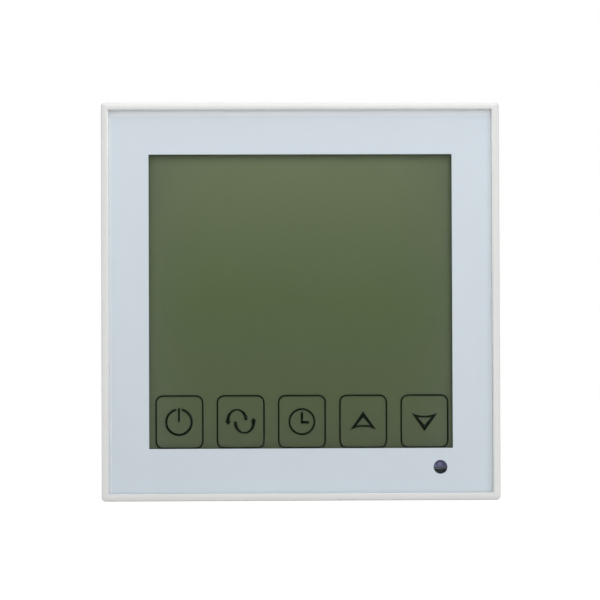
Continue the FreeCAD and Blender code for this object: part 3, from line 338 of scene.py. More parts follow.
def circuit_board(name, board, printed_round, lane_width):
    """Solder mask over traces in lanes that turn from block to block, with tinned holes."""
    bare_mask = tint(20, 84, 46)
    over_copper = tint(34, 116, 62)
    tin = tint(208, 206, 198)
    white_print = tint(226, 229, 222)
    fibre = tint(196, 190, 138)
    finish = Finish(name, bare_mask, 0.35)
    x, _, z = finish.axes()
    low, high = (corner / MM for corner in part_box(board))

    block = lane_width * 7
    lanes_used, trace_share = 0.7, 0.54
    turned = finish.chance((x / block).floor(), (z / block).floor()) > 0.5
    across = x * turned + z * (1 - turned)
    along = z * turned + x * (1 - turned)
    lane = (across / lane_width).floor()
    used = finish.chance(lane, (along / block).floor(), 7.0) > 1 - lanes_used
    trace = (abs((across / lane_width).fraction() - 0.5) < trace_share / 2) * used

    hole_pitch = lane_width * 3
    holes_present, ring_radius, hole_radius = 0.28, 0.34, 0.15
    from_x = ((x / hole_pitch).fraction() - 0.5) * hole_pitch
    from_z = ((z / hole_pitch).fraction() - 0.5) * hole_pitch
    distance = (from_x * from_x + from_z * from_z) ** 0.5
    chance = finish.chance((x / hole_pitch).floor(), (z / hole_pitch).floor(), 3.0)
    present = chance > 1 - holes_present
    ring = (distance < ring_radius) * present
    drilled = (distance < hole_radius) * present

    outline_margin, outline_line = 0.35, 0.16
    printed = 0.0
    for node in printed_round:
        printed = outline_round(x, z, node, outline_margin, outline_line) + printed
    inside_edge = 0.02
    edge_x = abs(x - (low.x + high.x) / 2) - (high.x - low.x) / 2
    edge_z = abs(z - (low.z + high.z) / 2) - (high.z - low.z) / 2
    cut_edge = edge_x.most(edge_z) > -inside_edge

    colour = finish.mix(trace, bare_mask, over_copper)
    colour = finish.mix(ring, colour, tin)
    colour = finish.mix(drilled, colour, tint(30, 30, 28))
    colour = finish.mix(printed, colour, white_print)
    colour = finish.mix(cut_edge, colour, fibre)
    finish.shade(
        {
            "Base Color": colour,
            "Metallic": ring * (1 - drilled) * 0.9,
            "Roughness": 0.36 + printed * 0.25 + cut_edge * 0.3 - ring * 0.08,
        }
    )
    finish.bump(trace * 0.6 + ring - drilled + finish.noise(1.2) * 0.15, 0.03)
    return finish


cover(
    circuit_board("power_board_mask", "power_board", ["terminal_housing", "pin_header"], 1.3),
    "power_board",
)
screw_steel = plated("screw_steel", tint(198, 200, 204), 0.36)
cover(screw_steel, "power_board_screws", "cover_screws", "board_screws")

# Relays ------------------------------------------------------------------------------------------
# Four sealed relays in black glass-filled covers. Each is potted on its base with epoxy, which
# leaves a glossier band where the cover meets the base, and stands soldered on the power board.


def relay_cover(name, node):
    """A dark cover with fine glass fibre in it, and glossy potting round its foot."""
    colour = tint(48, 50, 54)
    potting_tall = 0.95
    finish = Finish(name, colour, 0.38)
    _, y, _ = finish.axes()
    low, _ = (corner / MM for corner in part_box(node))
    potting = y < low.y + potting_tall
    cloud = finish.noise(0.25, 3)
    fibre = finish.noise(2.6, 2, (1, 1, 5))
    body = finish.mix(cloud, lighter(colour, 0.85), lighter(colour, 1.2))
    finish.shade(
        {
            "Base Color": finish.mix(potting, body, tint(34, 30, 28)),
            "Roughness": 0.42 - potting * 0.22 + (cloud - 0.5) * 0.15,
        }
    )
    finish.bump(fibre, 0.012)
    return finish


relays = [f"relay_{number}" for number in range(1, 5)]
cover(relay_cover("relay_plastic", relays[0]), *relays)

# Transformer -------------------------------------------------------------------------------------
# Two grey sintered ferrite halves glued round a bobbin. The winding in the core's windows is
# wrapped in yellow polyester tape, and the bobbin's flanges are black moulded resin.


def winding():
    """Layers of yellow tape, between the black flanges that stand past the core's ends."""
    band = tint(226, 190, 62)
    past_core, turn_wide, lap_share = 0.5, 0.9, 0.12
    finish = Finish("winding_tape", band, 0.3)
    _, y, _ = finish.axes()
    low, high = (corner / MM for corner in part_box("transformer_core"))
    flange = abs(y - (low.y + high.y) / 2) > (high.y - low.y) / 2 + past_core
    layer = (y / turn_wide).fraction() < lap_share
    cloud = finish.noise(0.8, 3)
    wrapped = finish.mix(cloud, lighter(band, 0.9), lighter(band, 1.08))
    wrapped = finish.mix(layer * 0.5, wrapped, lighter(band, 0.6))
    finish.shade(
        {
            "Base Color": finish.mix(flange, wrapped, tint(38, 36, 36)),
            "Roughness": 0.28 + cloud * 0.15 + flange * 0.2,
        }
    )
    finish.bump(cloud * 0.5 - layer * (1 - flange), 0.03)
    return finish


def ferrite():
    """Sintered ferrite: matt and dark, with pale chips along it and a fine pitted skin."""
    grey = tint(74, 74, 78)
    finish = Finish("ferrite", grey, 0.62)
    pit = finish.noise(2.2, 4)
    cloud = finish.noise(0.2, 2)
    finish.shade(
        {
            "Base Color": finish.mix(cloud, lighter(grey, 0.8), lighter(grey, 1.25)),
            "Roughness": 0.5 + pit * 0.3,
        }
    )
    finish.bump(pit, 0.025)
    return finish


cover(winding(), "transformer_winding")
cover(ferrite(), "transformer_core")

# Capacitors, varistor and fuse -------------------------------------------------------------------
# Aluminium cans in heat-shrunk sleeves, scored on top, beside a boxed film capacitor, a varistor
# dipped in blue epoxy, and a fuse in a moulded case. All stand soldered on the power board.


def sleeved_can(node):
    """A dark sleeve with a pale stripe down one side, and the can's scored aluminium top."""
    top_skin, bare_share, score_half, score_share, stripe_from = 0.05, 0.86, 0.12, 0.6, 0.8
    sleeve = tint(44, 48, 66)
    aluminium = tint(206, 208, 210)
    finish = Finish(f"{node}_sleeve", sleeve, 0.3)
    x, y, z = finish.axes()
    low, high = (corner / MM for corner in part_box(node))
    centre_x, centre_z = (low.x + high.x) / 2, (low.z + high.z) / 2
    radius = (high.x - low.x) / 2
    out_x, out_z = x - centre_x, z - centre_z
    distance = (out_x * out_x + out_z * out_z) ** 0.5
    top = (y > high.y - top_skin) * (distance < radius * bare_share)
    cross = (abs(out_x) < score_half) + (abs(out_z) < score_half)
    score = cross * (distance < radius * score_share) * top
    stripe = (out_z > radius * stripe_from) * (1 - top)
    cloud = finish.noise(0.6, 3)
    colour = finish.mix(cloud, lighter(sleeve, 0.85), lighter(sleeve, 1.15))
    colour = finish.mix(stripe, colour, tint(178, 182, 190))
    finish.shade(
        {
            "Base Color": finish.mix(top, colour, aluminium),
            "Metallic": top,
            "Roughness": 0.26 + cloud * 0.15 + top * 0.1,
        }
    )
    finish.bump(cloud * 0.3 - score, 0.08)
    return finish


def dipped(name, node, coat, wire_below):
    """A part dipped in resin, with tinned wires below the height given in millimetres."""
    finish = Finish(name, coat, 0.3)
    _, y, _ = finish.axes()
    low, _ = (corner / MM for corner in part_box(node))
    wire = y < low.y + wire_below
    run = finish.noise(0.5, 3)
    resin = finish.mix(run, lighter(coat, 0.85), lighter(coat, 1.15))
    finish.shade(
        {
            "Base Color": finish.mix(wire, resin, tint(206, 204, 198)),
            "Metallic": wire,
            "Roughness": 0.25 + run * 0.2,
        }
    )
    finish.bump(run, 0.05)
    return finish


for can in ("bulk_capacitor", "output_capacitor"):
    cover(sleeved_can(can), can)
cover(dipped("varistor_coat", "varistor", tint(52, 98, 168), 2.15), "varistor")
cover(moulded("film_box", tint(214, 178, 60), 0.32, 0.006), "film_capacitor")
cover(moulded("fuse_plastic", tint(96, 52, 42), 0.3, 0.004), "fuse")

# Pins between base and front unit ----------------------------------------------------------------
# Eight square pins, gold over nickel, pressed through a black nylon strip. They are the only
# electrical link from the power board to the socket on the control board.

cover(moulded("connector_plastic", tint(40, 40, 43), 0.48, 0.008), "pin_header", "board_socket")
cover(plated("pin_gold", tint(226, 190, 104), 0.22, (1, 0.2, 1)), "header_pins")

# Retaining springs -------------------------------------------------------------------------------
# Four noses bent from stainless strip, rolled bright, staked to the flange with melted stubs. They
# snap into grooves inside the front unit's upper and lower walls.

spring_steel = plated("spring_steel", tint(196, 198, 202), 0.25, (1, 12, 12))
cover(spring_steel, "retaining_springs", "cell_clip")

# Front frame -------------------------------------------------------------------------------------
# The white shell that everything in front hangs from, moulded in one piece and polished where it
# shows. Its thin rim stands just proud of the glass, and slots in its walls let the air through.


def polished_shell():
    """Glossy white plastic, with the faint marks of wiping along its walls."""
    white = tint(220, 220, 218)
    finish = Finish("frame_plastic", white, 0.3)
    cloud = finish.noise(0.05, 3)
    wipe = finish.noise(0.35, 4, (1, 1, 0.3))
    finish.shade(
        {
            "Base Color": finish.mix(cloud, lighter(white, 0.985), lighter(white, 1.01)),
            "Roughness": 0.27 + wipe * 0.12,
            "Coat Weight": 0.15,
        }
    )
    finish.bump(finish.noise(2.5), 0.0015)
    return finish


cover(polished_shell(), "front_frame")

# Glass and its bonding ---------------------------------------------------------------------------
# Clear cover glass, treated against reflections. White ink is printed on its rear, open at the
# display and at the infrared window, and a ring of acrylic tape bonds it to the frame.


def clear_sheet(name, reflection):
    """A clear sheet that only mirrors: a little face on, and more towards its edges."""
    finish = Finish(name, (1.0, 1.0, 1.0), 0.04, 1.0)
    grazing = finish.node("ShaderNodeLayerWeight", {}, {"Blend": 0.5}, "Facing")
    smear = finish.noise(0.03, 3)
    strength = reflection + (1 - reflection) * grazing**5
    finish.shade({"Alpha": strength, "Roughness": 0.03 + smear * 0.04})
    return finish


def cover_glass():
    """Clear glass, whose cut edges are ground and let a little less light through."""
    finish = clear_sheet("cover_glass", 0.003)
    x, _, z = finish.axes()
    _, high = (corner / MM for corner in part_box("touch_glass"))
    inside_edge, ground_alpha = 0.02, 0.12
    ground = abs(x).most(abs(z)) > high.x - inside_edge
    clear = Wire(finish, finish.shader.inputs["Alpha"].links[0].from_socket)
    finish.shade(
        {
            "Base Color": finish.mix(ground, (1.0, 1.0, 1.0), tint(226, 232, 234)),
            "Metallic": 1 - ground,
            "Alpha": clear * (1 - ground) + ground * ground_alpha,
            "Roughness": 0.04 + ground * 0.5,
        }
    )
    return finish


def mask_ink():
    """White ink with faint random tone, and painted light that lightens it towards its top and
    sides.
    """
    white = tint(203, 212, 219)
    finish = Finish("mask_print", white, 0.5)
    x, _, z = finish.axes()
    low, high = (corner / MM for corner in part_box("mask_film"))
    rise = (z - low.z) / (high.z - low.z)
    # Painted light: the ink is lightened towards the top; the noise is its own random tone.
    painted_rise_and_tone = rise * 0.8 + finish.noise(0.02, 2) * 0.4 - 0.1
    printed = finish.mix(painted_rise_and_tone, lighter(white, 0.99), lighter(white, 1.05))
    upper_band, side_band, side_strength = 1.6, 0.7, 0.6
    above = (z - (high.z - upper_band)) / upper_band
    beside = (abs(x) - (high.x - side_band)) / side_band * side_strength
    # Painted light: the ink is lightened near the top and the sides, where the rim's shade falls.
    painted_edge_light = above.most(beside).most(0)
    finish.shade(
        {
            "Base Color": finish.mix(painted_edge_light, printed, tint(252, 254, 255)),
            "Roughness": 0.45 + finish.noise(1.5) * 0.1,
        }
    )
    finish.bump(finish.noise(3.0), 0.001)
    return finish


cover(cover_glass(), "touch_glass")
cover(mask_ink(), "mask_film")
cover(moulded("bonding_tape", tint(226, 226, 220), 0.6, 0.006), "glass_adhesive")

# Sealing bead ------------------------------------------------------------------------------------
# The hairline gap between glass and rim is filled with a thin bead of pale silicone. It has sunk
# to a hollow a little below the glass as it cured.


def sealing_bead():
    """A square ring with a hollow face, in the gap round the glass."""
    low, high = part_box("touch_glass")
    gap, clear, corner, sharp_over = 0.2, 0.004, 0.35, 40
    below_glass, hollow, deep = 0.03, 0.03, 1.2
    half = high.x + (gap - clear) * MM
    wide = (gap - 2 * clear) * MM
    deselect()
    bpy.ops.mesh.primitive_plane_add(
        size=2 * half, location=(0, low.y + below_glass * MM, 0), rotation=(math.pi / 2, 0, 0)
    )
    bpy.ops.object.transform_apply(location=True, rotation=True, scale=True)
    piece = bpy.context.object
    bpy.ops.object.mode_set(mode="EDIT")
    bpy.ops.mesh.bevel(offset=corner * MM, segments=6, affect="VERTICES")
    bpy.ops.mesh.select_mode(type="FACE")
    bpy.ops.mesh.select_all(action="SELECT")
    bpy.ops.mesh.inset(thickness=wide / 2)
    bpy.ops.transform.translate(value=(0, hollow * MM, 0))
    bpy.ops.mesh.inset(thickness=wide / 2)
    bpy.ops.transform.translate(value=(0, -hollow * MM, 0))
    bpy.ops.mesh.delete(type="FACE")
    bpy.ops.mesh.select_all(action="SELECT")
    bpy.ops.mesh.extrude_region_move(TRANSFORM_OT_translate={"value": (0, deep * MM, 0)})
    bpy.ops.mesh.select_all(action="SELECT")
    bpy.ops.mesh.normals_make_consistent(inside=False)
    bpy.ops.object.mode_set(mode="OBJECT")
    bpy.ops.object.shade_smooth_by_angle(angle=math.radians(sharp_over))
    return piece


def bead_silicone():
    """Pale silicone, painted lighter at the top and greyer towards the glass's foot, with a little
    random tone.
    """
    finish = moulded("bead_silicone", tint(236, 240, 241), 0.45, 0.004)
    _, _, z = finish.axes()
    low, high = (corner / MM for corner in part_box("touch_glass"))
    # Painted light and shade: lighter at the top, where the rim's shade falls, and greyer at the
    # foot.
    painted_shading = (high.z - z) / (high.z - low.z) + (finish.noise(0.3) - 0.5) * 0.2
    finish.shade({"Base Color": finish.mix(painted_shading, tint(250, 252, 252), tint(218, 223, 225))})
    return finish


finish_with(sealing_bead(), "sealing_bead", bead_silicone(), "front_unit", "silicone")

# Display -----------------------------------------------------------------------------------------
# Two polarizers laminated to a pair of thin glasses with the liquid crystal between them. Switched
# off, the display is an even grey green, with painted shade towards its foot and along its edges.


def polarizer(name, node):
    """Grey green film: painted light at its top and sides, and painted shadow along its edges."""
    foot, middle, top = tint(85, 95, 71), tint(88, 103, 67), tint(108, 119, 90)
    edge_grey, painted_shadow_colour = tint(95, 106, 86), tint(42, 48, 47)
    shadow_reach, shadow_fade, shadow_beside, shadow_above = 1.6, 0.8, 0.18, 0.36
    finish = Finish(name, middle, 0.4)
    x, _, z = finish.axes()
    low, high = (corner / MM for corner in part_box(node))
    across = abs(x - (low.x + high.x) / 2) / ((high.x - low.x) / 2)
    rise = (z - low.z) / (high.z - low.z)
    # Painted shadow: darker along the edges, where the mask's edge shades the recessed display.
    beside = ((abs(x) - high.x + shadow_reach) / shadow_fade).most(0) ** 2 * shadow_beside
    above = ((abs(z) - high.z + shadow_reach) / shadow_fade).most(0) ** 2 * shadow_above
    # Painted light: paler towards the top and darker towards the foot, as light falls from above.
    lower = finish.mix(rise * 2, foot, middle)
    painted_gradient = finish.mix(rise * 2 - 1, lower, top)
    cloud = finish.noise(0.03, 3)
    clouded = finish.mix((cloud - 0.4) * 0.5, painted_gradient, edge_grey)
    # Painted light: lighter grey near the left and right edges, offsetting the recess shade.
    film = finish.mix(across**6 * 0.8, clouded, edge_grey)
    finish.shade(
        {
            "Base Color": finish.mix(beside.most(above), film, painted_shadow_colour),
            "Roughness": 0.38 + finish.noise(1.0) * 0.08,
            "Specular IOR Level": 0.0,
        }
    )
    finish.bump(finish.noise(2.0), 0.0008)
    return finish


def display_glass():
    """Thin glass, faintly streaked, which lets less through the flatter it is looked at."""
    pane = tint(168, 184, 158)
    finish = Finish("lcd_glass", pane, 0.08)
    grazing = finish.node("ShaderNodeLayerWeight", {}, {"Blend": 0.4}, "Facing")
    streak = finish.noise(0.4, 2)
    finish.shade(
        {
            "Base Color": finish.mix(streak, lighter(pane, 0.9), lighter(pane, 1.1)),
            "Alpha": 0.35 + grazing * 0.5,
            "Roughness": 0.06 + streak * 0.06,
        }
    )
    return finish


def light_guide():
    """Clear acrylic with a grid of fine white dots, which throw the lamps' light forwards."""
    finish = Finish("acrylic", tint(228, 234, 230), 0.12)
    x, _, z = finish.axes()
    pitch, dot_radius = 1.1, 0.2646
    from_x = ((x / pitch).fraction() - 0.5) * pitch
    from_z = ((z / pitch).fraction() - 0.5) * pitch
    dot = (from_x * from_x + from_z * from_z) < dot_radius**2
    finish.shade(
        {
            "Base Color": finish.mix(dot, tint(214, 224, 218), tint(246, 247, 245)),
            "Alpha": 0.55 + dot * 0.45,
            "Roughness": 0.12 + dot * 0.5,
        }
    )
    return finish


def lamp_package():
    """White lamp cases with the yellow of the phosphor at the middle of each."""
    finish = Finish("lamp_package", tint(234, 232, 220), 0.4)
    _, y, _ = finish.axes()
    low, high = (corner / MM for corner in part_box("backlight_leds"))
    phosphor_share = 0.56
    phosphor = abs(y - (low.y + high.y) / 2) < (high.y - low.y) * phosphor_share / 2
    grain = finish.noise(2.0, 3)
    finish.shade(
        {
            "Base Color": finish.mix(phosphor, tint(234, 232, 220), tint(232, 206, 84)),
            "Roughness": 0.35 + grain * 0.2,
        }
    )
    finish.bump(grain, 0.01)
    return finish


def striped_rubber():
    """Pink silicone with a core of fine black conducting layers along it."""
    pink = tint(224, 168, 168)
    finish = Finish("silicone", pink, 0.6)
    x, _, z = finish.axes()
    low, high = (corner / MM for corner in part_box("zebra_strip"))
    core_share, layer_pitch = 0.44, 0.18
    core = abs(z - (low.z + high.z) / 2) < (high.z - low.z) * core_share / 2
    layer = (x / layer_pitch).fraction() < 0.5
    finish.shade(
        {
            "Base Color": finish.mix(core * layer, pink, tint(38, 36, 38)),
            "Roughness": 0.5 + finish.noise(2.0) * 0.2,
        }
    )
    finish.bump(finish.noise(1.5), 0.01)
    return finish


cover(clear_sheet("clear_film", 0.002), "touch_film")
cover(polarizer("front_polarizer", "lcd_front_polarizer"), "lcd_front_polarizer")
cover(polarizer("rear_polarizer", "lcd_rear_polarizer"), "lcd_rear_polarizer")
cover(display_glass(), "lcd_front_glass", "lcd_rear_glass")
cover(light_guide(), "light_guide")
cover(lamp_package(), "backlight_leds")
cover(moulded("tray_plastic", tint(228, 228, 224), 0.5, 0.01), "lcd_holder")
cover(striped_rubber(), "zebra_strip")

# Touch keys --------------------------------------------------------------------------------------
# Five capacitive keys in a row along the display's foot. Their outlines and symbols are printed on
# the touch film in dark ink, which stands a few hundredths of a millimetre proud of the film.

KEY_ROW = -26.04
KEY_WIDTH = 10.08
KEY_HEIGHT = 11.3
KEY_LINE = 0.36
KEY_CORNER = 1.5
INK_THICK = 0.02
INK_FROM_FILM = 0.002
CIRCLE_SIDES = 144

ink_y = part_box("touch_film")[0].y - INK_FROM_FILM * MM


def flat(kind, x, z, **settings):
    """Add a flat primitive on the printed face, and open it in edit mode."""
    deselect()
    add = getattr(bpy.ops.mesh, f"primitive_{kind}_add")
    add(location=(x * MM, ink_y, z * MM), rotation=(math.pi / 2, 0, 0), **settings)
    bpy.ops.object.transform_apply(location=True, rotation=True, scale=True)
    bpy.ops.object.mode_set(mode="EDIT")
    return bpy.context.object


def pick(kind, test):
    """In edit mode, select only the faces or verts that pass a test of their place, in mm."""
    bpy.ops.mesh.select_mode(type={"faces": "FACE", "verts": "VERT"}[kind])
    bpy.ops.mesh.select_all(action="DESELECT")
    shape = bmesh.from_edit_mesh(bpy.context.object.data)
    for part in getattr(shape, kind):
        place = part.co if kind == "verts" else part.calc_center_median()
        if test(place / MM):
            part.select_set(True)
    bmesh.update_edit_mesh(bpy.context.object.data)


def stretch(x, z, wide, tall):
    """In edit mode, scale what is selected about a point."""
    bpy.ops.transform.resize(value=(wide, 1, tall), center_override=(x * MM, ink_y, z * MM))


def bar(x, z, wide, tall):
    """A printed bar about its middle."""
    piece = flat("plane", x, z, size=MM)
    stretch(x, z, wide, tall)
    bpy.ops.mesh.subdivide(number_cuts=1)
    return piece


def rounded_outline(x, z, wide, tall, corner, line):
    """A rounded rectangle drawn with a line, which is centred on the size given."""
    piece = flat("plane", x, z, size=MM)
    stretch(x, z, wide + line, tall + line)
    rounding = (corner + line / 2) * MM
    bpy.ops.mesh.bevel(offset=rounding, segments=12, affect="VERTICES")
    bpy.ops.mesh.select_mode(type="FACE")
    bpy.ops.mesh.select_all(action="SELECT")
    bpy.ops.mesh.inset(thickness=line * MM)
    bpy.ops.mesh.delete(type="FACE")
    return piece


def hoop(x, z, radii, lines, kept):
    """Part of an oval ring: its mean radii and its line widths across and up."""
    (radius_x, radius_z), (line_x, line_z) = radii, lines
    piece = flat("circle", x, z, vertices=CIRCLE_SIDES, radius=MM, fill_type="NGON")
    stretch(x, z, radius_x + line_x / 2, radius_z + line_z / 2)
    inset = min(line_x, line_z)
    bpy.ops.mesh.inset(thickness=inset * MM)
    inner_x = (radius_x - line_x / 2) / (radius_x + line_x / 2 - inset)
    inner_z = (radius_z - line_z / 2) / (radius_z + line_z / 2 - inset)
    stretch(x, z, inner_x, inner_z)
    bpy.ops.mesh.delete(type="FACE")

    def dropped(place):
        angle = math.degrees(math.atan2((place.z - z) / radius_z, (place.x - x) / radius_x))
        return not kept(angle % 360)

    pick("faces", dropped)
    bpy.ops.mesh.delete(type="FACE")
    return piece


def head(x, z, wide, tall):
    """An arrowhead on its base's centre; it points down where its height is negative."""
    piece = flat("circle", x, z, vertices=3, radius=MM, fill_type="NGON")
    stretch(x, z, wide / math.sqrt(3), tall / 1.5)
    bpy.ops.transform.translate(value=(0, 0, tall / 3 * MM))
    if tall < 0:
        bpy.ops.mesh.flip_normals()
    return piece


def along(turn, apex, tip_x, tip_z, notch):
    """A place on a triangle with a hollow base, from its apex at 0 and round by the left to 3."""
    if turn < 1:
        return -tip_x * turn, apex + (tip_z - apex) * turn
    if turn > 2:
        return tip_x * (3 - turn), apex + (tip_z - apex) * (3 - turn)
    across = 2 * turn - 3
    return tip_x * across, notch + (tip_z - notch) * across**2


def arrow(x, z, way):
    """A broad open arrow with a hollow base; way is 1 where it points up, and -1 down."""
    outside, hole = (2.2, 2.84, -1.84, -1.15), (0.82, 1.44, -0.84, -0.76)
    sides, ring_line = 24, 0.4
    piece = flat("circle", x, z, vertices=sides, radius=MM, fill_type="NGON")
    bpy.ops.mesh.inset(thickness=ring_line * MM)
    bpy.ops.mesh.delete(type="FACE")
    shape = bmesh.from_edit_mesh(piece.data)
    for vertex in shape.verts:
        out_x, out_z = vertex.co.x / MM - x, vertex.co.z / MM - z
        from_top = (math.degrees(math.atan2(out_z, out_x)) - 90) % 360
        turn = round(from_top * sides / 360) % sides * 3 / sides
        on_outside = math.hypot(out_x, out_z) > 1 - ring_line / 2
        to_x, to_z = along(turn, *(outside if on_outside else hole))
        vertex.co = Vector(((x + to_x) * MM, ink_y, (z + to_z * way) * MM))
    bmesh.update_edit_mesh(piece.data)
    if way < 0:
        bpy.ops.mesh.select_all(action="SELECT")
        bpy.ops.mesh.flip_normals()
    return piece


def ink():
    """Dark printed ink: nearly black green, faintly uneven, as dull as the film allows."""
    dark = tint(20, 27, 18)
    finish = Finish("key_ink", dark, 0.5)
    patch = finish.noise(0.9, 3)
    finish.shade(
        {
            "Base Color": finish.mix(patch, lighter(dark, 0.8), lighter(dark, 1.25)),
            "Roughness": 0.45 + patch * 0.15,
            "Specular IOR Level": 0.0,
        }
    )
    finish.bump(patch, 0.002)
    return finish


key_ink = ink()


def printed_key(name, x, *symbol):
    """Join a key's outline and its symbol, and give the ink its thickness."""
    outline = rounded_outline(x, KEY_ROW, KEY_WIDTH, KEY_HEIGHT, KEY_CORNER, KEY_LINE)
    piece = join([outline, *symbol])
    solid = piece.modifiers.new("ink", "SOLIDIFY")
    solid.thickness = INK_THICK * MM
    solid.offset = 1.0
    bpy.ops.object.modifier_apply(modifier="ink")
    finish_with(piece, name, key_ink, "front_unit", "clear_film")


def whole(_):
    """Keep all of a ring."""
    return True


power_x = -26.3
printed_key(
    "key_power",
    power_x,
    hoop(power_x - 0.1, KEY_ROW, (2.75, 2.75), (0.54, 0.54), lambda a: abs(a - 90) > 12.5),
    bar(power_x - 0.1, KEY_ROW + 1.55, 0.48, 3.0),
)

mode_x = -13.05
printed_key(
    "key_mode",
    mode_x,
    hoop(mode_x - 0.81, KEY_ROW + 0.45, (1.94, 2.17), (0.72, 0.36), lambda a: a < 184 or a > 358),
    hoop(mode_x + 0.81, KEY_ROW - 0.22, (1.94, 2.17), (0.72, 0.36), lambda a: a > 172 or a < 4),
    head(mode_x - 2.74, KEY_ROW + 0.28, 1.42, -1.02),
    head(mode_x + 2.77, KEY_ROW - 0.08, 1.42, 1.08),
)

clock_x = 0.2
hub_z = KEY_ROW - 0.15
hand = 0.57
printed_key(
    "key_clock",
    clock_x,
    hoop(clock_x, KEY_ROW, (2.71, 2.71), (0.43, 0.43), whole),
    bar(clock_x, hub_z + (2.2 - hand / 2) / 2, hand, 2.2 + hand / 2),
    bar(clock_x + (hand / 2 + 1.55) / 2, hub_z, 1.55 - hand / 2, hand),
)

for name, x, way in (("key_up", 13.47, 1), ("key_down", 26.76, -1)):
    printed_key(name, x, arrow(x, KEY_ROW, way))

# Control board -----------------------------------------------------------------------------------
# The green board that carries the display, held by four screws in the frame's bosses. The tray's
# pegs come through it, and its printed outlines show where each part is soldered.

cover(
    circuit_board(
        "control_board_mask",
        "control_board",
        ["microcontroller", "display_driver", "crystal", "backup_cell", "buzzer", "board_socket"],
        0.75,
    ),
    "control_board",
)


def chip(node):
    """A black package with a dimple at its first pin, and tinned leads beyond its edges."""
    epoxy = tint(44, 44, 46)
    finish = Finish(f"{node}_epoxy", epoxy, 0.5)
    x, _, z = finish.axes()
    low, high = (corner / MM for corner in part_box(node))
    lead_reach, dimple_inset, dimple_radius = 1.0, 1.2, 0.5
    half = (high.x - low.x) / 2 - lead_reach
    out_x, out_z = x - (low.x + high.x) / 2, z - (low.z + high.z) / 2
    lead = abs(out_x).most(abs(out_z)) > half + 0.02
    dimple_x, dimple_z = out_x + (half - dimple_inset), out_z - (half - dimple_inset)
    dimple = (dimple_x * dimple_x + dimple_z * dimple_z) < dimple_radius**2
    grain = finish.noise(3.0, 3)
    colour = finish.mix(grain, lighter(epoxy, 0.8), lighter(epoxy, 1.25))
    finish.shade(
        {
            "Base Color": finish.mix(lead, colour, tint(206, 206, 202)),
            "Metallic": lead,
            "Roughness": 0.52 - dimple * 0.25 - lead * 0.2,
        }
    )
    finish.bump(grain * 0.3 - dimple, 0.05)
    return finish


def small_parts():
    """Ceramic capacitors and black resistors, by chance, with tinned ends."""
    tan = tint(178, 148, 112)
    black = tint(36, 36, 40)
    finish = Finish("passive_ceramic", tan, 0.4)
    x, _, z = finish.axes()
    low, high = (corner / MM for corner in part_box("board_passives"))
    rows, columns, part_tall, part_wide, end_from = 3, 6, 2.0, 1.2, 0.62
    row_pitch = (high.z - low.z - part_tall) / (rows - 1)
    column_pitch = (high.x - low.x - part_wide) / (columns - 1)
    row = (z - low.z - part_tall / 2) / row_pitch + 0.5
    column = (x - low.x - part_wide / 2) / column_pitch + 0.5
    end = abs(row.fraction() - 0.5) * row_pitch > end_from
    resistor = finish.chance(row.floor(), column.floor()) > 0.5
    grain = finish.noise(2.5, 2)
    body = finish.mix(resistor, tan, black)
    finish.shade(
        {
            "Base Color": finish.mix(end, body, tint(208, 206, 200)),
            "Metallic": end,
            "Roughness": 0.32 + grain * 0.18,
        }
    )
    finish.bump(grain, 0.01)
    return finish


def pressed_can(name, node, swirl):
    """A pressed steel can, with faint rings or a lengthwise grain from its press."""
    steel = tint(200, 202, 204)
    finish = Finish(name, steel, 0.28, 1.0)
    x, _, z = finish.axes()
    low, high = (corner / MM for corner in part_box(node))
    out_x, out_z = x - (low.x + high.x) / 2, z - (low.z + high.z) / 2
    distance = (out_x * out_x + out_z * out_z) ** 0.5
    rings_to_mm = 3.0
    ring = (distance * rings_to_mm).fraction() if swirl else finish.noise(1.5, 3, (6, 1, 1))
    patch = finish.noise(0.3, 3)
    finish.shade(
        {
            "Base Color": finish.mix(patch, lighter(steel, 0.88), lighter(steel, 1.08)),
            "Roughness": 0.22 + ring * 0.12 + patch * 0.1,
        }
    )
    finish.bump(ring * 0.4 + patch * 0.2, 0.008)
    return finish


def glass_bead():
    """A bead of sintered ceramic dipped in dark epoxy, on two tinned wires."""
    bead_tall = 2.85
    dark = tint(52, 46, 44)
    finish = Finish("sensor_epoxy", dark, 0.18)
    _, _, z = finish.axes()
    low, _ = (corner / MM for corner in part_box("temperature_sensor"))
    wire = z > low.z + bead_tall
    run = finish.noise(0.8, 3)
    finish.shade(
        {
            "Base Color": finish.mix(wire, dark, tint(206, 204, 198)),
            "Metallic": wire,
            "Roughness": 0.14 + run * 0.15,
        }
    )
    finish.bump(run, 0.03)
    return finish


for package in ("microcontroller", "display_driver"):
    cover(chip(package), package)
cover(small_parts(), "board_passives")
cover(pressed_can("crystal_can", "crystal", False), "crystal")
cover(pressed_can("cell_can", "backup_cell", True), "backup_cell")
cover(moulded("sounder_plastic", tint(42, 42, 44), 0.5, 0.01), "buzzer")
cover(glass_bead(), "temperature_sensor")

# Infrared receiver -------------------------------------------------------------------------------
# A package of violet epoxy with a moulded lens, soldered to the board by three legs behind the
# small window. A block of dark foam below it keeps the display's light off the lens.

CUT_EXACT = 1e-7


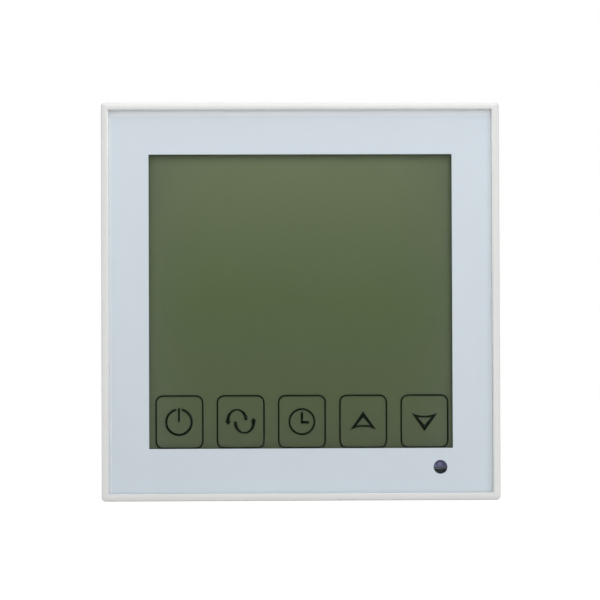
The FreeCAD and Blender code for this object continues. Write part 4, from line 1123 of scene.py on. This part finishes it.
def receiver_body():
    """The package: a block with broken edges, a stepped face and a domed lens on it."""
    low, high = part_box("ir_receiver")
    lens_proud, lens_clear, lens_radius = 0.5 * MM, 0.01 * MM, 0.83 * MM
    step_inset, step_proud, edge_round = 0.22 * MM, 0.12 * MM, 0.09 * MM
    near_face, sharp_over = 0.01 * MM, 35
    face_y = low.y + lens_proud
    centre = Vector(((low.x + high.x) / 2, (face_y + high.y) / 2, (low.z + high.z) / 2))
    size = Vector((high.x - low.x, high.y - face_y, high.z - low.z))
    deselect()
    bpy.ops.mesh.primitive_cube_add(size=1, location=centre, scale=size)
    bpy.ops.object.transform_apply(location=True, rotation=True, scale=True)
    body = bpy.context.object
    bpy.ops.object.mode_set(mode="EDIT")
    pick("faces", lambda place: place.y < (face_y + near_face) / MM)
    bpy.ops.mesh.inset(thickness=step_inset)
    bpy.ops.transform.translate(value=(0, -step_proud, 0))
    bpy.ops.object.mode_set(mode="OBJECT")
    edges = body.modifiers.new("edges", "BEVEL")
    edges.width = edge_round
    edges.segments = 3
    bpy.ops.object.modifier_apply(modifier="edges")

    deselect()
    at_face = Vector((centre.x, face_y - step_proud, centre.z))
    bpy.ops.mesh.primitive_uv_sphere_add(
        segments=40, ring_count=20, radius=lens_radius, location=at_face
    )
    bpy.ops.object.transform_apply(location=True, rotation=True, scale=True)
    lens = bpy.context.object
    bpy.ops.object.mode_set(mode="EDIT")
    bpy.ops.mesh.bisect(
        plane_co=at_face, plane_no=(0, 1, 0), use_fill=True, clear_outer=True, threshold=CUT_EXACT
    )
    bpy.ops.mesh.select_all(action="SELECT")
    depth = (at_face.y - low.y - lens_clear) / lens_radius
    bpy.ops.transform.resize(value=(1, depth, 1), center_override=at_face)
    bpy.ops.object.mode_set(mode="OBJECT")
    piece = join([body, lens])
    bpy.ops.object.shade_smooth_by_angle(angle=math.radians(sharp_over))
    return piece


def violet_epoxy():
    """Violet epoxy, a little streaked where it flowed into its mould."""
    violet = tint(138, 138, 180)
    finish = Finish("ir_epoxy", violet, 0.22)
    flow = finish.noise(0.7, 3)
    finish.shade(
        {
            "Base Color": finish.mix(flow, lighter(violet, 0.85), lighter(violet, 1.1)),
            "Roughness": 0.18 + flow * 0.12,
        }
    )
    finish.bump(flow, 0.008)
    return finish


def dark_foam():
    """Dark foam with open cells, and a painted highlight along its top edge."""
    dark = tint(42, 52, 51)
    highlight_thick, cells_to_mm = 0.14, 3.2
    finish = Finish("foam", dark, 0.9)
    _, _, z = finish.axes()
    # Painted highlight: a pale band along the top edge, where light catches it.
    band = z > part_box("ir_light_shield")[1].z / MM - highlight_thick
    inputs = {"Vector": finish.place, "Scale": cells_to_mm / MM}
    cell = finish.node("ShaderNodeTexVoronoi", {}, inputs)
    foam = finish.mix(cell, lighter(dark, 0.5), lighter(dark, 1.5))
    finish.shade(
        {
            "Base Color": finish.mix(band, foam, tint(170, 182, 182)),
            "Roughness": 0.8 + cell * 0.15,
        }
    )
    finish.bump(cell, 0.06)
    return finish


def leg_solder():
    """One dome of solder on the board's rear, where a leg of the receiver comes through."""
    low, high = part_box("ir_receiver")
    _, board_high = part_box("control_board")
    radius, drawn_up, drawn_in, drawn_from, sharp_over = 0.62 * MM, 0.28 * MM, 0.55, 0.55, 50
    at_board = Vector(((low.x + high.x) / 2, board_high.y, (low.z + high.z) / 2))
    deselect()
    bpy.ops.mesh.primitive_uv_sphere_add(
        segments=28, ring_count=14, radius=radius, location=at_board
    )
    bpy.ops.object.transform_apply(location=True, rotation=True, scale=True)
    bpy.ops.object.mode_set(mode="EDIT")
    bpy.ops.mesh.bisect(
        plane_co=at_board, plane_no=(0, 1, 0), use_fill=True, clear_inner=True, threshold=CUT_EXACT
    )
    pick("verts", lambda place: place.y > (at_board.y + radius * drawn_from) / MM)
    bpy.ops.transform.resize(value=(drawn_in, 1, drawn_in), center_override=at_board)
    bpy.ops.transform.translate(value=(0, drawn_up, 0))
    bpy.ops.object.mode_set(mode="OBJECT")
    bpy.ops.object.shade_smooth_by_angle(angle=math.radians(sharp_over))
    return bpy.context.object


def copied(piece, offset):
    """A copy of a piece, with its own mesh, set off by a distance."""
    deselect()
    piece.select_set(True)
    bpy.context.view_layer.objects.active = piece
    bpy.ops.object.duplicate(linked=False)
    bpy.ops.transform.translate(value=offset)
    bpy.ops.object.transform_apply(location=True, rotation=True, scale=True)
    return bpy.context.object


finish_with(
    receiver_body(),
    "infrared_receiver",
    violet_epoxy(),
    "front_unit",
    "ir_epoxy",
    "ir_receiver",
)
cover(dark_foam(), "ir_light_shield")

leg_pitch = 1.27 * MM
middle_leg = leg_solder()
legs = [middle_leg, *[copied(middle_leg, (leg_pitch * side, 0, 0)) for side in (-1, 1)]]
solder = plated("solder", tint(206, 208, 208), 0.3)
finish_with(join(legs), "receiver_solder", solder, "front_unit", "screw_steel")

# Floor, lights and camera ------------------------------------------------------------------------
# A plain pale floor and soft studio light: large lamps in front, above and behind, and an even
# white surround. The camera stands a little to the left and a little low.

low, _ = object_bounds()
deselect()
FLOOR_SIDE = 4
FLOOR_CLEAR = 0.05 * MM
bpy.ops.mesh.primitive_plane_add(size=FLOOR_SIDE, location=(0, 0, low.z - FLOOR_CLEAR))
floor = bpy.context.object
floor.name = "floor"


def floor_paint():
    """Pale paint that a camera sees almost lit from within, so only soft shadows mark it."""
    finish = Finish("floor_paint", tint(205, 205, 205), 0.9)
    finish.shade({"Roughness": 0.85 + finish.noise(0.01) * 0.1})
    glow = finish.node("ShaderNodeEmission", {}, {"Color": (1.0, 1.0, 1.0), "Strength": 1.12})
    painted = Wire(finish, finish.shader.outputs[0])
    mixed = finish.node("ShaderNodeMixShader", {}, {0: finish.seen() * 0.85, 1: painted, 2: glow})
    finish.feed(finish.tree.nodes["Material Output"], {"Surface": mixed})
    return finish


floor.data.materials.append(floor_paint().material)

SURROUND_LIGHT = 0.42
bpy.context.scene.world = bpy.data.worlds.new("surround")
surround = Nodes(bpy.context.scene.world)
strength = surround.seen() * (1 - SURROUND_LIGHT) + SURROUND_LIGHT
surround.feed(surround.tree.nodes["Background"], {"Color": (1.0, 1.0, 1.0), "Strength": strength})


def lamp(name, place, size, power):
    """A soft square lamp that faces the object's middle."""
    deselect()
    bpy.ops.object.light_add(type="AREA", location=place)
    light = bpy.context.object
    light.name = name
    light.data.size = size
    light.data.energy = power
    light.rotation_euler = (-Vector(place)).to_track_quat("-Z", "Y").to_euler()


lamp("key_lamp", (0.12, -0.75, 0.5), 0.75, 4.78)
lamp("ceiling_lamp", (0.06, -0.15, 0.9), 0.5, 2.3)
lamp("rear_lamp", (0.3, 0.9, 0.7), 0.6, 4.0)

DISTANCE = 0.6
LEFT, BELOW, ROLL = (math.radians(angle) for angle in (1.37, 1.09, 0.205))
LENS, SENSOR_WIDE = 167.04, 36
SHIFT_ACROSS, SHIFT_UP = -0.0015333, 0.0018
target = Vector((0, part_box("front_frame")[0].y, 0))
level = math.cos(BELOW)
towards = Vector((-math.sin(LEFT) * level, -math.cos(LEFT) * level, -math.sin(BELOW)))
bpy.ops.object.camera_add(location=target + towards * DISTANCE)
camera = bpy.context.object
camera.rotation_euler = (-towards).to_track_quat("-Z", "Y").to_euler()
camera.rotation_euler.rotate_axis("Z", -ROLL)
camera.data.lens = LENS
camera.data.sensor_width = SENSOR_WIDE
camera.data.shift_x = SHIFT_ACROSS
camera.data.shift_y = SHIFT_UP
bpy.context.scene.camera = camera
bpy.context.scene.view_settings.view_transform = "Standard"
